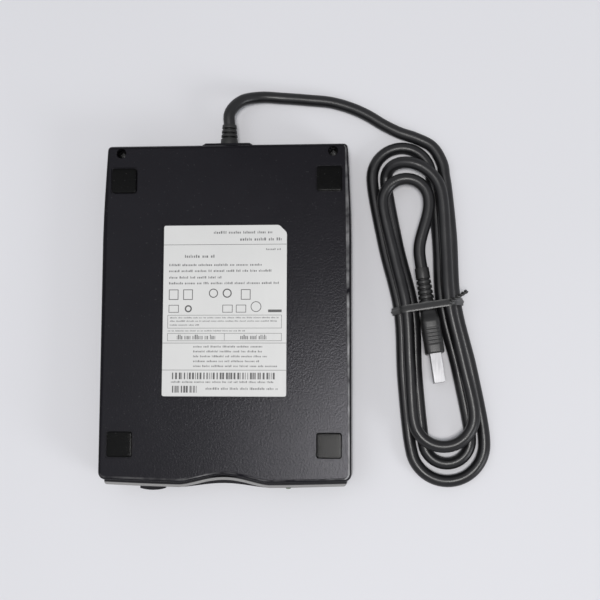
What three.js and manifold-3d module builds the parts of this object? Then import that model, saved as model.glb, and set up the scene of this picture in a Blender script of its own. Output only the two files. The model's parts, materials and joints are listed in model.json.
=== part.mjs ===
// A slim external floppy disk drive that lies on its top cover, underside up, with its lead tied in a hank.
// Millimetres. +X is to the right, +Y runs from the disk slot to the cord, +Z points out of the underside.
// The origin is on the surface that the drive lies on, under the middle of the case.

import * as THREE from "three";
import { mergeVertices } from "three/addons/utils/BufferGeometryUtils.js";
import Module from "manifold-3d";

const wasm = await Module();
wasm.setup();

// Clearances and cutting
const fitGap = 0.3;
const glueGap = 0.1;
const overrun = 2;
const lap = 0.5;
const mergeDistance = 1e-4;

// Sides of round pieces, from a pin to the rotor
const pinSides = 12;
const barSides = 16;
const collarSides = 20;
const turnedSides = 24;
const rotorSides = 32;

// Case
const caseWidth = 104;
const caseLength = 142;
const caseThickness = 17.6;
const topCoverHeight = 9;
const plateThickness = 1.6;
const wallThickness = 1.8;
const edgeRound = 1.6;
const frontCornerRadius = 3;
const rearCornerRadius = 1.8;
const rearTaper = 1.4;
const rearTaperLength = 45;
const frontBow = 1.2;
const notchWidth = 37.4;
const notchDepth = 3.3;
const notchPower = 1.5;
const bezelProud = 2;
const seamTongueHeight = 0.8;
const seamTongueThickness = 0.7;

// Rear end
const plinthWidth = 22.4;
const plinthTopWidth = 18.6;
const plinthProud = 1.2;
const plinthHalfHeight = 5.6;
const screwInset = 7.5;
const screwFromRear = 3.3;
const screwHeadRadius = 1.8;
const screwHeadHeight = 1.5;
const screwShankRadius = 0.95;
const screwTipZ = 4.4;
const screwSinkDepth = 5;
const screwCrossLength = 2.2;
const screwCrossWidth = 0.5;
const screwCrossDepth = 0.8;
const bossRadius = 3.4;

// Feet and label
const footSide = 10.4;
const footProud = 0.8;
const footCornerRadius = 0.8;
const footEdgeRound = 0.3;
const footRecessMargin = 0.5;
const footRecessDepth = 0.5;
const footFromSide = 9;
const footFromFront = 15.5;
const footFromRear = 15;
const labelWidth = 51.3;
const labelLength = 70.7;
const labelFromLeft = 26.2;
const labelFromRear = 34.1;
const labelChamfer = 3.2;
const labelThickness = 0.15;
const labelMargin = 0.8;
const labelRecessDepth = 0.3;

// Bezel, its flap, button and lamp
const bezelFromSide = 2.1;
const bezelLowZ = 1.9;
const bezelLipZ = 14.3;
const bezelLipThickness = 1.4;
const bezelFaceNotchShare = 0.58;
const bezelBackDepth = 4.8;
const bezelCornerRadius = 1.2;
const bezelEdgeRound = 0.4;
const bezelTabLength = 4;
const slotFromBezelEnd = 4.3;
const slotLowZ = 3.3;
const slotHeight = 4.7;
const flapThickness = 0.7;
const flapOverlap = 0.4;
const flapSideOverlap = 0.3;
const flapFromBack = 0.85;
const flapPinZ = 3.05;
const flapPinRadius = 0.45;
const flapPinLength = 1.3;
const earThickness = 1.2;
const earHeight = 2.3;
const earPinGap = 0.2;
const flapSpringTurns = 4;
const flapSpringLength = 4;
const flapSpringWire = 0.3;
const flapSpringRadius = 0.95;
const buttonFromBezelEnd = 19.9;
const buttonWidth = 10.4;
const buttonLowZ = 9.5;
const buttonHeight = 3;
const buttonProud = 1.2;
const buttonCornerProud = 0.5;
const buttonLength = 6.8;
const buttonSlotDepth = 3.2;
const lampFromBezelEnd = 23.9;
const lampZ = 11;
const lampRadius = 1.1;
const lampFlangeRadius = 1.7;
const lampFlangeThickness = 0.8;
const lampDomeHeight = 0.35;

// Strain relief and cord
const cordDiameter = 5;
const cordSides = 8;
const cordExitZ = 9.15;
const reliefNeckRadius = 2.9;
const reliefFlangeRadius = 4.6;
const reliefFlangeThickness = 1.4;
const reliefFootRadius = 3.8;
const reliefTipRadius = 3;
const reliefTipRound = 0.5;
const reliefLength = 8.7;
const reliefGrooves = 3;
const reliefGroovePitch = 1.85;
const reliefGrooveWidth = 0.75;
const reliefGrooveDepth = 0.75;
const tailDiameter = 3;
const tailSteps = 18;
const leadStepDiameters = 0.8;

// Hank of cord, with its own frame at the tie
const hankX = 82;
const hankY = 3.6;
const hankTurn = 8.4;
const hankHalfWidth = 16.6;
const hankHalfLength = 74.3;
const hankSidePitch = 5.6;
const hankEndPitch = 7.2;
const hankDrawIn = 3.5;
const hankWaistHalfLength = 44;
const hankStrandGap = 0.55;
const hankStartStep = -1.7;
const hankEndStep = 70;
const hankStepsPerTurn = 24;
const hankRunSteps = 4;
const hankSides = 6;
const hankEntrySteps = 7;
const hankLayerTurns = 1.5;
const hankClimbShare = 0.66;
const gapSamples = 6;

// Tie round the hank
const tieCrossings = 6;
const tieWidth = 3;
const tieThickness = 0.9;
const tieGap = 0.35;
const tieTailLength = 9;
const tieTailRadius = 0.9;
const tieTailLobe = 0.3;
const tieTailTilt = [-20, 60, 0];
const tieTailPitch = 3;

// Plug, on its narrow edge
const plugX = 1.3;
const plugThickness = 7.8;
const plugHeight = 16;
const plugGripLength = 18;
const plugGripStartY = -1.9;
const plugNeckWidth = 6.4;
const plugNeckHeight = 9.4;
const plugShoulderLength = 5;
const plugCornerRadius = 1.6;
const bootLength = 18;
const bootFootRadius = 3.3;
const bootTipRadius = 2.9;
const bootGrooves = 6;
const bootGroovePitch = 2.1;
const bootGrooveWidth = 0.9;
const bootGrooveDepth = 0.6;
const plugShellWidth = 12;
const plugShellThickness = 4.5;
const plugShellWall = 0.3;
const plugShellLength = 12;
const plugShellSeat = 2;
const plugWindowSide = 2.2;
const plugWindowSpacing = 5.4;
const plugWindowFromTip = 5.2;
const tongueThickness = 1.85;
const tongueWidth = 10.9;
const tongueLength = 8.4;

// Chassis
const sheet = 1;
const chassisFromSide = 3.8;
const chassisWall = 0.8;
const chassisFromFront = 7;
const chassisFromRear = 12;
const leadWayLeftX = -13;
const leadWayRightX = 14;
const leadWayFromRear = 15.5;
const deckLowZ = 10.4;
const chassisWallLowZ = 2.8;
const shieldThickness = 0.6;
const shieldRearStrip = 3;
const wallGap = 0.5;
const armWindowHalfWidth = 9;
const armWindowFrontShare = 0.5;
const deckPostRadius = 2.5;
const deckPostFromSide = 11;
const deckPostFrontShare = 0.1338;
const deckPostRearShare = 0.7113;

// Disk holder, slide plate and latch lever
const holderLowZ = 2.9;
const holderSheet = 0.6;
const holderFromFront = 11.6;
const holderRearShare = 0.6761;
const holderFlangeDepth = 2.9;
const holderFlangeFromFront = 19;
const holderWallStep = 1.2;
const holderFlangeRearShare = 0.6408;
const holderWindowHalfWidth = 8;
const holderWindowFrontShare = 0.5141;
const holderTravel = 2.4;
const holderTopZ = 7.6;
const holderPinRadius = 0.9;
const holderPinFrontShare = 0.2183;
const holderPinRearShare = 0.5704;
const holderPinDepth = 1.4;
const slideTravel = 4;
const slideSheet = 0.6;
const slideTopZ = 10.1;
const slideLowZ = 2.8;
const slideSlotRadius = 1.2;
const slideHookShare = 0.7113;
const slideHookHalfHeight = 1;
const slideFromFront = 11.5;
const slideRearShare = 0.6549;
const slideBarWidth = 4;
const slideTabHalfWidth = 3;
const springTabWidth = 3.4;
const springTabLength = 1;
const springRadius = 1.2;
const springWire = 0.4;
const springTurns = 9;
const springLength = 17;
const springZ = 8.7;
const leverPivotFromSide = 18;
const leverPivotShare = 0.7676;
const leverPostRadius = 1.6;
const leverHubRadius = 3.2;
const leverArmReach = 16;
const leverArmDrop = 14;
const leverTipRadius = 1.5;
const leverTailLength = 9;
const leverSheet = 0.8;
const leverLowZ = 5;

// Spindle
const spindleShare = 0.3732;
const rotorRadius = 20;
const rotorLowZ = 9.6;
const rotorThickness = 0.8;
const rotorRim = 1.6;
const hubRadius = 11.5;
const hubLowZ = 8.8;
const shaftRadius = 2;
const shaftTipZ = 7.8;
const drivePinRadius = 1;
const drivePinOffset = 8.6;
const drivePinProud = 0.8;
const rotorWindowRadius = 21.2;
const statorTeeth = 12;
const statorToothRadius = 17.6;
const statorRootRadius = 8.4;
const statorBoreRadius = 5.6;
const statorToothShare = 0.34;
const statorCapShare = 0.74;
const statorCapDepth = 1.8;
const statorThickness = 0.7;
const bearingRadius = 4.4;
const bearingFlange = 2;
const motorBoardLowZ = 11.7;
const boardThickness = 0.8;
const motorBoardHalfWidth = 27;
const motorBoardFrontShare = 0.1761;
const motorBoardRearShare = 0.5423;
const bearingTopZ = 13.6;

// Head carriage and its drive
const carriageTravel = 14.8;
const screwAxisX = 10;
const screwAxisZ = 12.2;
const guideAxisX = -12;
const guideRadius = 1;
const carriageWindowHalfLeft = 17;
const carriageWindowHalfRight = 22;
const carriageWindowMargin = 1.7;
const carriageWindowRearShare = 0.8535;
const bearingTabWidth = 5;
const bearingTabThickness = 1.4;
const bearingTabTopZ = 14.2;
const carriageFrontShare = 0.7113;
const carriageRearShare = 0.8451;
const carriageHalfLeft = 15.6;
const carriageHalfRight = 6;
const carriageLowZ = 8.8;
const carriageTopZ = 13.9;
const followerFrontShare = 0.7535;
const followerRearShare = 0.8028;
const tongueHalfWidth = 5;
const headArmLowZ = 9.3;
const headArmSheet = 0.8;
const headShare = 0.6514;
const headHalfSide = 3;
const headPadRise = 0.5;
const upperPadRise = 0.3;
const headStepShare = 0.75;
const lowerHeadTipZ = 7.7;
const upperArmLowZ = 1.9;
const upperArmSheet = 0.7;
const upperArmHalfWidth = 4.4;
const upperHeadTipZ = 3.35;
const armPivotShare = 0.8169;
const armPivotZ = 5.2;
const armPivotRadius = 0.9;
const armHingeHalfWidth = 7.4;
const armSpringTurns = 3;
const armSpringWire = 0.4;
const armSpringRadius = 1.8;
const armSpringLength = 4;
const armEarThickness = 2.2;
const armEarHalfLength = 1.8;
const guideClear = 3.5;
const followerWall = 1;
const leadScrewRadius = 1.1;
const leadScrewLobe = 0.28;
const leadScrewPitch = 3;
const leadScrewSides = 8;
const leadScrewStepsPerTurn = 8;
const motorCanRadius = 3.5;
const motorCanLength = 9;
const motorFlangeThickness = 0.6;
const motorFlangeHalfWidth = 4.6;
const motorGap = 0.5;

// Boards, connector and switches
const boardFromSide = 6;
const boardRightX = -17;
const boardFrontShare = 0.5986;
const boardRearShare = 0.912;
const boardLowZ = 11.7;
const chipThickness = 1.2;
const chipSide = 10;
const chipEdge = 0.3;
const chipFromBoardEdge = 15;
const chipShare = 0.6972;
const driverChipLength = 12;
const driverChipWidth = 7.4;
const driverChipFromBoardEdge = 15;
const driverChipShare = 0.8099;
const socketWidth = 8;
const socketLength = 5;
const socketHeight = 2.9;
const socketX = -22;
const socketShare = 0.8838;
const socketWallShare = 0.14;
const boardHoleRadius = 2.9;
const ribbonWidth = 8;
const ribbonFoot = 4;
const ribbonThickness = 0.2;
const ribbonX = -22;
const ribbonRise = 2;
const switchFromSide = 22;
const switchShare = 0.1479;
const switchSpacing = 4.6;
const switchCount = 2;
const plungerRadius = 0.9;
const plungerTipZ = 8.7;
const plungerFlangeRadius = 1.4;
const plungerTravel = 0.8;
const switchRoof = 0.5;
const switchBlockLength = 4.4;

// Places that follow from the sizes above
const frontY = -caseLength / 2;
const rearY = caseLength / 2;
const shellFrontY = frontY + bezelProud;
const bezelHalfWidth = caseWidth / 2 - bezelFromSide;
const slotHalfWidth = bezelHalfWidth - slotFromBezelEnd;
const flapHalfWidth = slotHalfWidth + flapSideOverlap;
const buttonX = buttonFromBezelEnd - bezelHalfWidth;
const lampX = bezelHalfWidth - lampFromBezelEnd;
const topPlateInnerZ = plateThickness;
const bottomPlateInnerZ = caseThickness - plateThickness;
const bottomCoverLowZ = topCoverHeight + fitGap;
const bezelBackY = frontY + bezelBackDepth;
const deckTopZ = deckLowZ + sheet;
const footRecessZ = caseThickness - footRecessDepth;
const labelRecessZ = caseThickness - labelRecessDepth;
const screwX = caseWidth / 2 - screwInset;
const screwY = rearY - screwFromRear;
const screwSeatZ = caseThickness - screwSinkDepth;
const reliefTipY = rearY + plinthProud + fitGap + reliefLength;
const reliefFlangeY = rearY - wallThickness - 2 * fitGap - reliefFlangeThickness;
const holderPinZ = holderLowZ + holderSheet / 2 + holderPinDepth;
const cordRadius = cordDiameter / 2;

// Places in the mechanism, across the case and along it
const chassisHalfWidth = caseWidth / 2 - chassisFromSide;
const deckPostX = caseWidth / 2 - deckPostFromSide;
const switchX = caseWidth / 2 - switchFromSide;
const leverPivotX = leverPivotFromSide - caseWidth / 2;
const boardLeftX = boardFromSide - caseWidth / 2;
const chipX = boardLeftX + chipFromBoardEdge;
const driverChipX = boardLeftX + driverChipFromBoardEdge;
const fromFront = (share) => frontY + share * caseLength;
const chassisFrontY = frontY + chassisFromFront;
const chassisRearY = rearY - chassisFromRear;
const leadWayFrontY = rearY - leadWayFromRear;
const armWindowFrontY = fromFront(armWindowFrontShare);
const deckPostFrontY = fromFront(deckPostFrontShare);
const deckPostRearY = fromFront(deckPostRearShare);
const holderFrontY = frontY + holderFromFront;
const holderRearY = fromFront(holderRearShare);
const holderFlangeFrontY = frontY + holderFlangeFromFront;
const holderFlangeRearY = fromFront(holderFlangeRearShare);
const holderWindowFrontY = fromFront(holderWindowFrontShare);
const holderPinFrontY = fromFront(holderPinFrontShare);
const holderPinRearY = fromFront(holderPinRearShare);
const slideFrontY = frontY + slideFromFront;
const slideRearY = fromFront(slideRearShare);
const slideHookY = fromFront(slideHookShare);
const leverPivotY = fromFront(leverPivotShare);
const spindleY = fromFront(spindleShare);
const motorBoardFrontY = fromFront(motorBoardFrontShare);
const motorBoardRearY = fromFront(motorBoardRearShare);
const carriageWindowRearY = fromFront(carriageWindowRearShare);
const motorFrontY = carriageWindowRearY + fitGap + bearingTabThickness + motorGap;
const carriageFrontY = fromFront(carriageFrontShare);
const carriageWindowFrontY = carriageFrontY - carriageTravel - carriageWindowMargin;
const carriageRearY = fromFront(carriageRearShare);
const followerFrontY = fromFront(followerFrontShare);
const followerRearY = fromFront(followerRearShare);
const headY = fromFront(headShare);
const armPivotY = fromFront(armPivotShare);
const boardFrontY = fromFront(boardFrontShare);
const boardRearY = fromFront(boardRearShare);
const chipY = fromFront(chipShare);
const driverChipY = fromFront(driverChipShare);
const socketY = fromFront(socketShare);
const switchY = fromFront(switchShare);
const switchWellHeight = 3 * fitGap + plungerTravel;
const switchBlockHeight = switchWellHeight + switchRoof;

// Colours, roughness and metalness of the finishes
const finishes = {
  case: [0x2b2c30, 0.62, 0],
  trim: [0x1e1f22, 0.55, 0],
  rubber: [0x17171a, 0.8, 0],
  label: [0xdcdbd9, 0.5, 0],
  cord: [0x202126, 0.55, 0],
  lamp: [0x5f8f4a, 0.25, 0],
  steel: [0xb4b7bb, 0.35, 1],
  darkSteel: [0x6d7075, 0.4, 1],
  brass: [0xb39a5c, 0.35, 1],
  moulding: [0x35363a, 0.5, 0],
  white: [0xe4e2da, 0.5, 0],
  board: [0x1f5c3a, 0.45, 0],
  chip: [0x1a1a1c, 0.45, 0],
  ceramic: [0x4a4644, 0.3, 0],
  copper: [0xa8623a, 0.4, 1],
  film: [0xc9b27a, 0.4, 0],
};

function finish(name) {
  const [color, roughness, metalness] = finishes[name];
  return new THREE.MeshStandardMaterial({ name, color, roughness, metalness });
}

// A closed geometry as a solid that can be cut and joined.
function solid(geometry) {
  const loose = geometry.index ? geometry.toNonIndexed() : geometry.clone();
  loose.deleteAttribute("normal");
  loose.deleteAttribute("uv");
  const merged = mergeVertices(loose, mergeDistance);
  const vertProperties = merged.attributes.position.array;
  const triVerts = new Uint32Array(merged.index.array);
  return new wasm.Manifold(new wasm.Mesh({ numProp: 3, vertProperties, triVerts }));
}

// A solid as a geometry again.
function surface(made) {
  const mesh = made.getMesh();
  const geometry = new THREE.BufferGeometry();
  geometry.setAttribute("position", new THREE.BufferAttribute(mesh.vertProperties, 3));
  geometry.setIndex(new THREE.BufferAttribute(mesh.triVerts, 1));
  geometry.computeVertexNormals();
  return geometry;
}

function add(group, name, made, finishName, position = [0, 0, 0], rotation = [0, 0, 0]) {
  const geometry = made.isBufferGeometry ? made : surface(made);
  const mesh = new THREE.Mesh(geometry, finish(finishName));
  mesh.name = name;
  mesh.position.set(...position);
  mesh.rotation.set(...rotation);
  group.add(mesh);
  return mesh;
}

const both = (half) => [-half, half];
const around = (middle, width) => [middle - width / 2, middle + width / 2];

function block(x, y, z) {
  const geometry = new THREE.BoxGeometry(x[1] - x[0], y[1] - y[0], z[1] - z[0]);
  geometry.translate((x[0] + x[1]) / 2, (y[0] + y[1]) / 2, (z[0] + z[1]) / 2);
  return solid(geometry);
}

// A round bar along X, Y or Z, from one end to the other, through a point given by its three places.
function bar(axis, radius, span, through, sides = barSides) {
  const geometry = new THREE.CylinderGeometry(radius, radius, span[1] - span[0], sides);
  const middle = (span[0] + span[1]) / 2;
  if (axis === "x") geometry.rotateZ(Math.PI / 2);
  if (axis === "z") geometry.rotateX(Math.PI / 2);
  const centre = new THREE.Vector3(...through);
  centre[axis] = middle;
  geometry.translate(centre.x, centre.y, centre.z);
  return solid(geometry);
}

// A turned piece round Z, from a profile of [radius, z] that runs up the outside.
function turned(profile, sides = turnedSides) {
  const points = profile.map(([radius, z]) => new THREE.Vector2(radius, z));
  const geometry = new THREE.LatheGeometry(points, sides);
  geometry.rotateX(Math.PI / 2);
  return solid(geometry);
}

function slab(points, lowZ, highZ) {
  const shape = Array.isArray(points) ? new THREE.Shape(points) : points;
  const geometry = new THREE.ExtrudeGeometry(shape, {
    depth: highZ - lowZ,
    bevelEnabled: false,
    curveSegments: 4,
  });
  geometry.translate(0, 0, lowZ);
  return solid(geometry);
}

// A slab whose edge is rounded at its high side, or at its low side where roundLow is true.
function roundedSlab(points, lowZ, highZ, round, roundLow = false, steps = 3) {
  const geometry = new THREE.ExtrudeGeometry(new THREE.Shape(points), {
    depth: highZ - lowZ,
    bevelThickness: round,
    bevelSize: round,
    bevelOffset: -round,
    bevelSegments: steps,
  });
  const shift = roundLow ? lowZ + round : lowZ - round;
  geometry.translate(0, 0, shift);
  const wide = both(caseLength);
  const kept = roundLow ? [lowZ - overrun, highZ] : [lowZ, highZ + overrun];
  return solid(geometry).intersect(block(wide, wide, kept));
}

function roundedRectangle(width, height, radius) {
  const x = width / 2;
  const y = height / 2;
  const shape = new THREE.Shape();
  shape.moveTo(radius - x, -y);
  shape.lineTo(x - radius, -y);
  shape.absarc(x - radius, radius - y, radius, -Math.PI / 2, 0);
  shape.lineTo(x, y - radius);
  shape.absarc(x - radius, y - radius, radius, 0, Math.PI / 2);
  shape.lineTo(radius - x, y);
  shape.absarc(radius - x, y - radius, radius, Math.PI / 2, Math.PI);
  shape.lineTo(-x, radius - y);
  shape.absarc(radius - x, radius - y, radius, Math.PI, Math.PI * 1.5);
  return shape;
}

// The points of an arc about a centre, both ends included.
function arc(x, y, radius, from, to, steps) {
  return Array.from({ length: steps + 1 }, (_, i) => {
    const angle = from + ((to - from) * i) / steps;
    return new THREE.Vector2(x + radius * Math.cos(angle), y + radius * Math.sin(angle));
  });
}

// The front edge from left to right: a slight bow with the finger notch in its middle.
function frontEdge(halfWidth, y, depth) {
  const bow = (x) => frontBow * (x / (caseWidth / 2)) ** 2;
  const dip = (x) => {
    const share = Math.min(1, Math.abs(x) / (notchWidth / 2));
    return depth * Math.cos((share * Math.PI) / 2) ** notchPower;
  };
  const outerSteps = 4;
  const notchSteps = 14;
  const outer = halfWidth - notchWidth / 2;
  const places = [];
  for (let i = 0; i < outerSteps; i++) places.push(-halfWidth + (outer * i) / outerSteps);
  for (let i = 0; i <= notchSteps; i++) places.push(-notchWidth / 2 + (notchWidth * i) / notchSteps);
  for (let i = 1; i <= outerSteps; i++) places.push(notchWidth / 2 + (outer * i) / outerSteps);
  return places.map((x) => new THREE.Vector2(x, y + bow(x) + dip(x)));
}

// The case in plan, drawn in by an inset: straight sides that narrow in a soft curve towards the rear.
function caseOutline(inset) {
  const half = caseWidth / 2 - inset;
  const frontRadius = Math.max(frontCornerRadius - inset, edgeRound / 2);
  const rearRadius = Math.max(rearCornerRadius - inset, edgeRound / 2);
  const front = shellFrontY + inset;
  const rear = rearY - inset;
  const edge = frontEdge(half - frontRadius, front, notchDepth);
  const cornerY = edge.at(-1).y + frontRadius;
  const taperSteps = 8;
  const taperEndY = rear - rearRadius;
  const taperStartY = rearY - rearTaperLength;
  const side = Array.from({ length: taperSteps + 1 }, (_, i) => {
    const share = i / taperSteps;
    const narrowing = rearTaper * (1 - Math.cos((share * Math.PI) / 2));
    return new THREE.Vector2(half - narrowing, taperStartY + (taperEndY - taperStartY) * share);
  });
  const rearHalf = half - rearTaper;
  const right = [
    ...arc(half - frontRadius, cornerY, frontRadius, -Math.PI / 2, 0, 5).slice(1),
    ...side.slice(0, -1),
    ...arc(rearHalf - rearRadius, taperEndY, rearRadius, 0, Math.PI / 2, 4),
  ];
  const left = right.map((p) => new THREE.Vector2(-p.x, p.y)).reverse();
  return [...edge, ...right, ...left];
}

const drive = new THREE.Group();
const casing = new THREE.Group();
const mechanism = new THREE.Group();
const cord = new THREE.Group();
drive.add(casing, mechanism, cord);

// The case's front is open for the bezel between its two side walls.
const bezelOpeningY = shellFrontY + wallThickness + notchDepth + fitGap;
const bezelOpening = (lowZ, highZ) =>
  block(both(bezelHalfWidth + fitGap), [frontY - overrun, bezelOpeningY], [lowZ, highZ]);

// The round way through the rear wall for the strain relief.
const reliefWay = bar(
  "y",
  reliefNeckRadius + fitGap,
  [rearY - wallThickness - overrun, rearY + plinthProud + overrun],
  [0, 0, cordExitZ],
  turnedSides,
);

function plinth(lowZ, highZ) {
  const points = [
    [-plinthWidth / 2, rearY - wallThickness / 2],
    [plinthWidth / 2, rearY - wallThickness / 2],
    [plinthWidth / 2, rearY],
    [plinthTopWidth / 2, rearY + plinthProud],
    [-plinthTopWidth / 2, rearY + plinthProud],
    [-plinthWidth / 2, rearY],
  ];
  return slab(points.map(([x, y]) => new THREE.Vector2(x, y)), lowZ, highZ);
}

const footPlaces = ["left", "right"].flatMap((side) => {
  const x = (side === "left" ? -1 : 1) * (caseWidth / 2 - footFromSide);
  return [
    [`foot_front_${side}`, x, shellFrontY + footFromFront],
    [`foot_rear_${side}`, x, rearY - footFromRear],
  ];
});

function labelOutline(margin) {
  const left = -caseWidth / 2 + labelFromLeft - margin;
  const right = left + labelWidth + 2 * margin;
  const rear = rearY - labelFromRear + margin;
  const front = rear - labelLength - 2 * margin;
  const corner = labelChamfer + margin / 2;
  return [
    [left, front],
    [right, front],
    [right, rear - corner],
    [right - corner, rear],
    [left, rear],
  ].map(([x, y]) => new THREE.Vector2(x, y));
}

const screwPlaces = [
  ["left", -screwX],
  ["right", screwX],
];

const deckPosts = [-deckPostX, deckPostX].flatMap((x) => [
  [x, deckPostFrontY],
  [x, deckPostRearY],
]);

// Two lines round the wall, one inside the other: the tongue of the seam, or the rebate that takes it.
function seamRing(outerInset, innerInset, lowZ, highZ) {
  const inner = slab(caseOutline(innerInset), lowZ - overrun, highZ + overrun);
  return slab(caseOutline(outerInset), lowZ, highZ).subtract(inner);
}

function bottomCover() {
  let made = roundedSlab(caseOutline(0), bottomCoverLowZ, caseThickness, edgeRound);
  made = made.add(plinth(bottomCoverLowZ, cordExitZ + plinthHalfHeight));
  const cavity = slab(caseOutline(wallThickness), bottomCoverLowZ - overrun, bottomPlateInnerZ);
  made = made.subtract(cavity);
  for (const [, x] of screwPlaces) {
    const bossSpan = [bottomCoverLowZ, bottomPlateInnerZ + lap];
    const boss = bar("z", bossRadius, bossSpan, [x, screwY, 0], collarSides);
    made = made.add(boss.intersect(slab(caseOutline(wallThickness / 2), bottomCoverLowZ, caseThickness)));
  }
  for (const [x, y] of deckPosts) {
    const span = [deckTopZ + fitGap, bottomPlateInnerZ + lap];
    made = made.add(bar("z", deckPostRadius, span, [x, y, 0], pinSides));
  }
  const rebateHigh = bottomCoverLowZ + seamTongueHeight;
  const rebateInset = wallThickness - seamTongueThickness - fitGap / 2;
  made = made.subtract(seamRing(rebateInset, wallThickness + lap, bottomCoverLowZ - overrun, rebateHigh));
  made = made.subtract(bezelOpening(bottomCoverLowZ - overrun, bezelLipZ + fitGap));
  made = made.subtract(slab(labelOutline(labelMargin), labelRecessZ, caseThickness + overrun));
  const recess = footSide + 2 * footRecessMargin;
  for (const [, x, y] of footPlaces) {
    const square = roundedRectangle(recess, recess, footCornerRadius);
    made = made.subtract(slab(square, footRecessZ, caseThickness + overrun).translate([x, y, 0]));
  }
  for (const [, x] of screwPlaces) {
    const middle = [x, screwY, 0];
    const sinkSpan = [screwSeatZ, caseThickness + overrun];
    const waySpan = [bottomCoverLowZ - overrun, caseThickness];
    made = made.subtract(bar("z", screwHeadRadius + fitGap, sinkSpan, middle, collarSides));
    made = made.subtract(bar("z", screwShankRadius + fitGap, waySpan, middle, pinSides));
  }
  return made.subtract(reliefWay);
}

function topCover() {
  let made = roundedSlab(caseOutline(0), 0, topCoverHeight, edgeRound, true);
  made = made.add(plinth(cordExitZ - plinthHalfHeight, topCoverHeight));
  const cavity = slab(caseOutline(wallThickness), topPlateInnerZ, topCoverHeight + overrun);
  made = made.subtract(cavity);
  const tongueHigh = bottomCoverLowZ + seamTongueHeight - fitGap;
  const tongueOuter = wallThickness - seamTongueThickness;
  made = made.add(seamRing(tongueOuter, wallThickness, topCoverHeight - lap, tongueHigh));
  for (const [, x] of screwPlaces) {
    const middle = [x, screwY, 0];
    const boss = bar("z", bossRadius, [topPlateInnerZ - lap, topCoverHeight], middle, collarSides);
    made = made.add(boss.intersect(slab(caseOutline(wallThickness / 2), 0, topCoverHeight)));
    made = made.subtract(bar("z", bossRadius + fitGap, [topCoverHeight, caseThickness], middle, collarSides));
    const pilotSpan = [screwTipZ - fitGap, caseThickness];
    made = made.subtract(bar("z", screwShankRadius + fitGap, pilotSpan, middle, pinSides));
  }
  made = made.subtract(bezelOpening(topPlateInnerZ, caseThickness));
  return made.subtract(reliefWay);
}

add(casing, "bottom_cover", bottomCover(), "case");
add(casing, "top_cover", topCover(), "case");

// Bezel: a face with the disk slot, and a lip that stands proud beside the underside's plate.
const slotHighZ = slotLowZ + slotHeight;
const faceHighZ = bezelLipZ - bezelLipThickness;
const flapPinY = bezelBackY + flapFromBack;
const earX = flapHalfWidth + earPinGap;

function bezelOutline(depth, radius) {
  const edge = frontEdge(bezelHalfWidth - radius, frontY, depth);
  const cornerY = edge.at(-1).y + radius;
  const right = arc(bezelHalfWidth - radius, cornerY, radius, -Math.PI / 2, 0, 3).slice(1);
  const left = right.map((p) => new THREE.Vector2(-p.x, p.y)).reverse();
  const back = [
    new THREE.Vector2(bezelHalfWidth, bezelBackY),
    new THREE.Vector2(-bezelHalfWidth, bezelBackY),
  ];
  return [...edge, ...right, ...back, ...left];
}

function bezel() {
  const faceNotch = notchDepth * bezelFaceNotchShare;
  const face = slab(bezelOutline(faceNotch, bezelCornerRadius), bezelLowZ, faceHighZ);
  const lipLowZ = faceHighZ - bezelLipThickness / 2;
  const lipOutline = bezelOutline(notchDepth, bezelCornerRadius);
  let made = face.add(roundedSlab(lipOutline, lipLowZ, bezelLipZ, bezelEdgeRound, false, 2));
  const through = [frontY - overrun, bezelBackY + overrun];
  made = made.subtract(block(both(slotHalfWidth), through, [slotLowZ, slotHighZ]));
  const buttonWay = buttonWidth / 2 + fitGap;
  made = made.subtract(
    block(
      [buttonX - buttonWay, buttonX + buttonWay],
      through,
      [buttonLowZ - fitGap, buttonLowZ + buttonHeight + fitGap],
    ),
  );
  made = made.subtract(bar("y", lampRadius + fitGap / 2, through, [lampX, 0, lampZ], barSides));
  const ears = mirrored(
    [earX, earX + earThickness],
    [bezelBackY - lap, flapPinY + flapFromBack + fitGap / 2],
    [bezelLowZ, bezelLowZ + earHeight],
  );
  const tabs = mirrored(
    [bezelHalfWidth - sheet, bezelHalfWidth],
    [bezelBackY - lap, bezelBackY + bezelTabLength],
    [bezelLowZ + sheet, faceHighZ - sheet],
  );
  made = made.add(ears).add(tabs);
  const pinLine = [0, flapPinY, flapPinZ];
  const pinWay = both(earX + earThickness + lap);
  const hole = bar("x", flapPinRadius + earPinGap, pinWay, pinLine, pinSides);
  const slotPart = block(both(earX - glueGap), [bezelBackY, bezelBackY + overrun], both(caseThickness));
  const springSpan = [flapHalfWidth - flapSpringLength - fitGap, flapHalfWidth + fitGap];
  const springWay = bar("x", flapSpringRadius + flapSpringWire + fitGap, springSpan, pinLine, barSides);
  return made.subtract(hole.subtract(slotPart)).subtract(springWay);
}

add(casing, "front_bezel", bezel(), "case");

// The flap hangs on two pins in the bezel's ears and covers the slot from behind.
function flap() {
  const top = slotHighZ + flapOverlap - flapPinZ;
  const plate = block(both(flapHalfWidth), around(0, flapThickness), [-flapPinRadius, top]);
  const pinEndX = flapHalfWidth + flapPinLength;
  const pins = bar("x", flapPinRadius, both(pinEndX), [0, 0, 0], pinSides);
  const springStartX = flapHalfWidth - flapSpringLength;
  const springGap = block(
    [springStartX, flapHalfWidth + flapPinLength / 4],
    both(flapThickness),
    [-flapThickness, flapSpringRadius + flapThickness],
  );
  const pinAgain = bar("x", flapPinRadius, [springStartX - sheet, pinEndX], [0, 0, 0], pinSides);
  return plate.add(pins).subtract(springGap).add(pinAgain);
}

add(casing, "slot_flap", flap(), "trim", [0, flapPinY, flapPinZ]);

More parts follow.
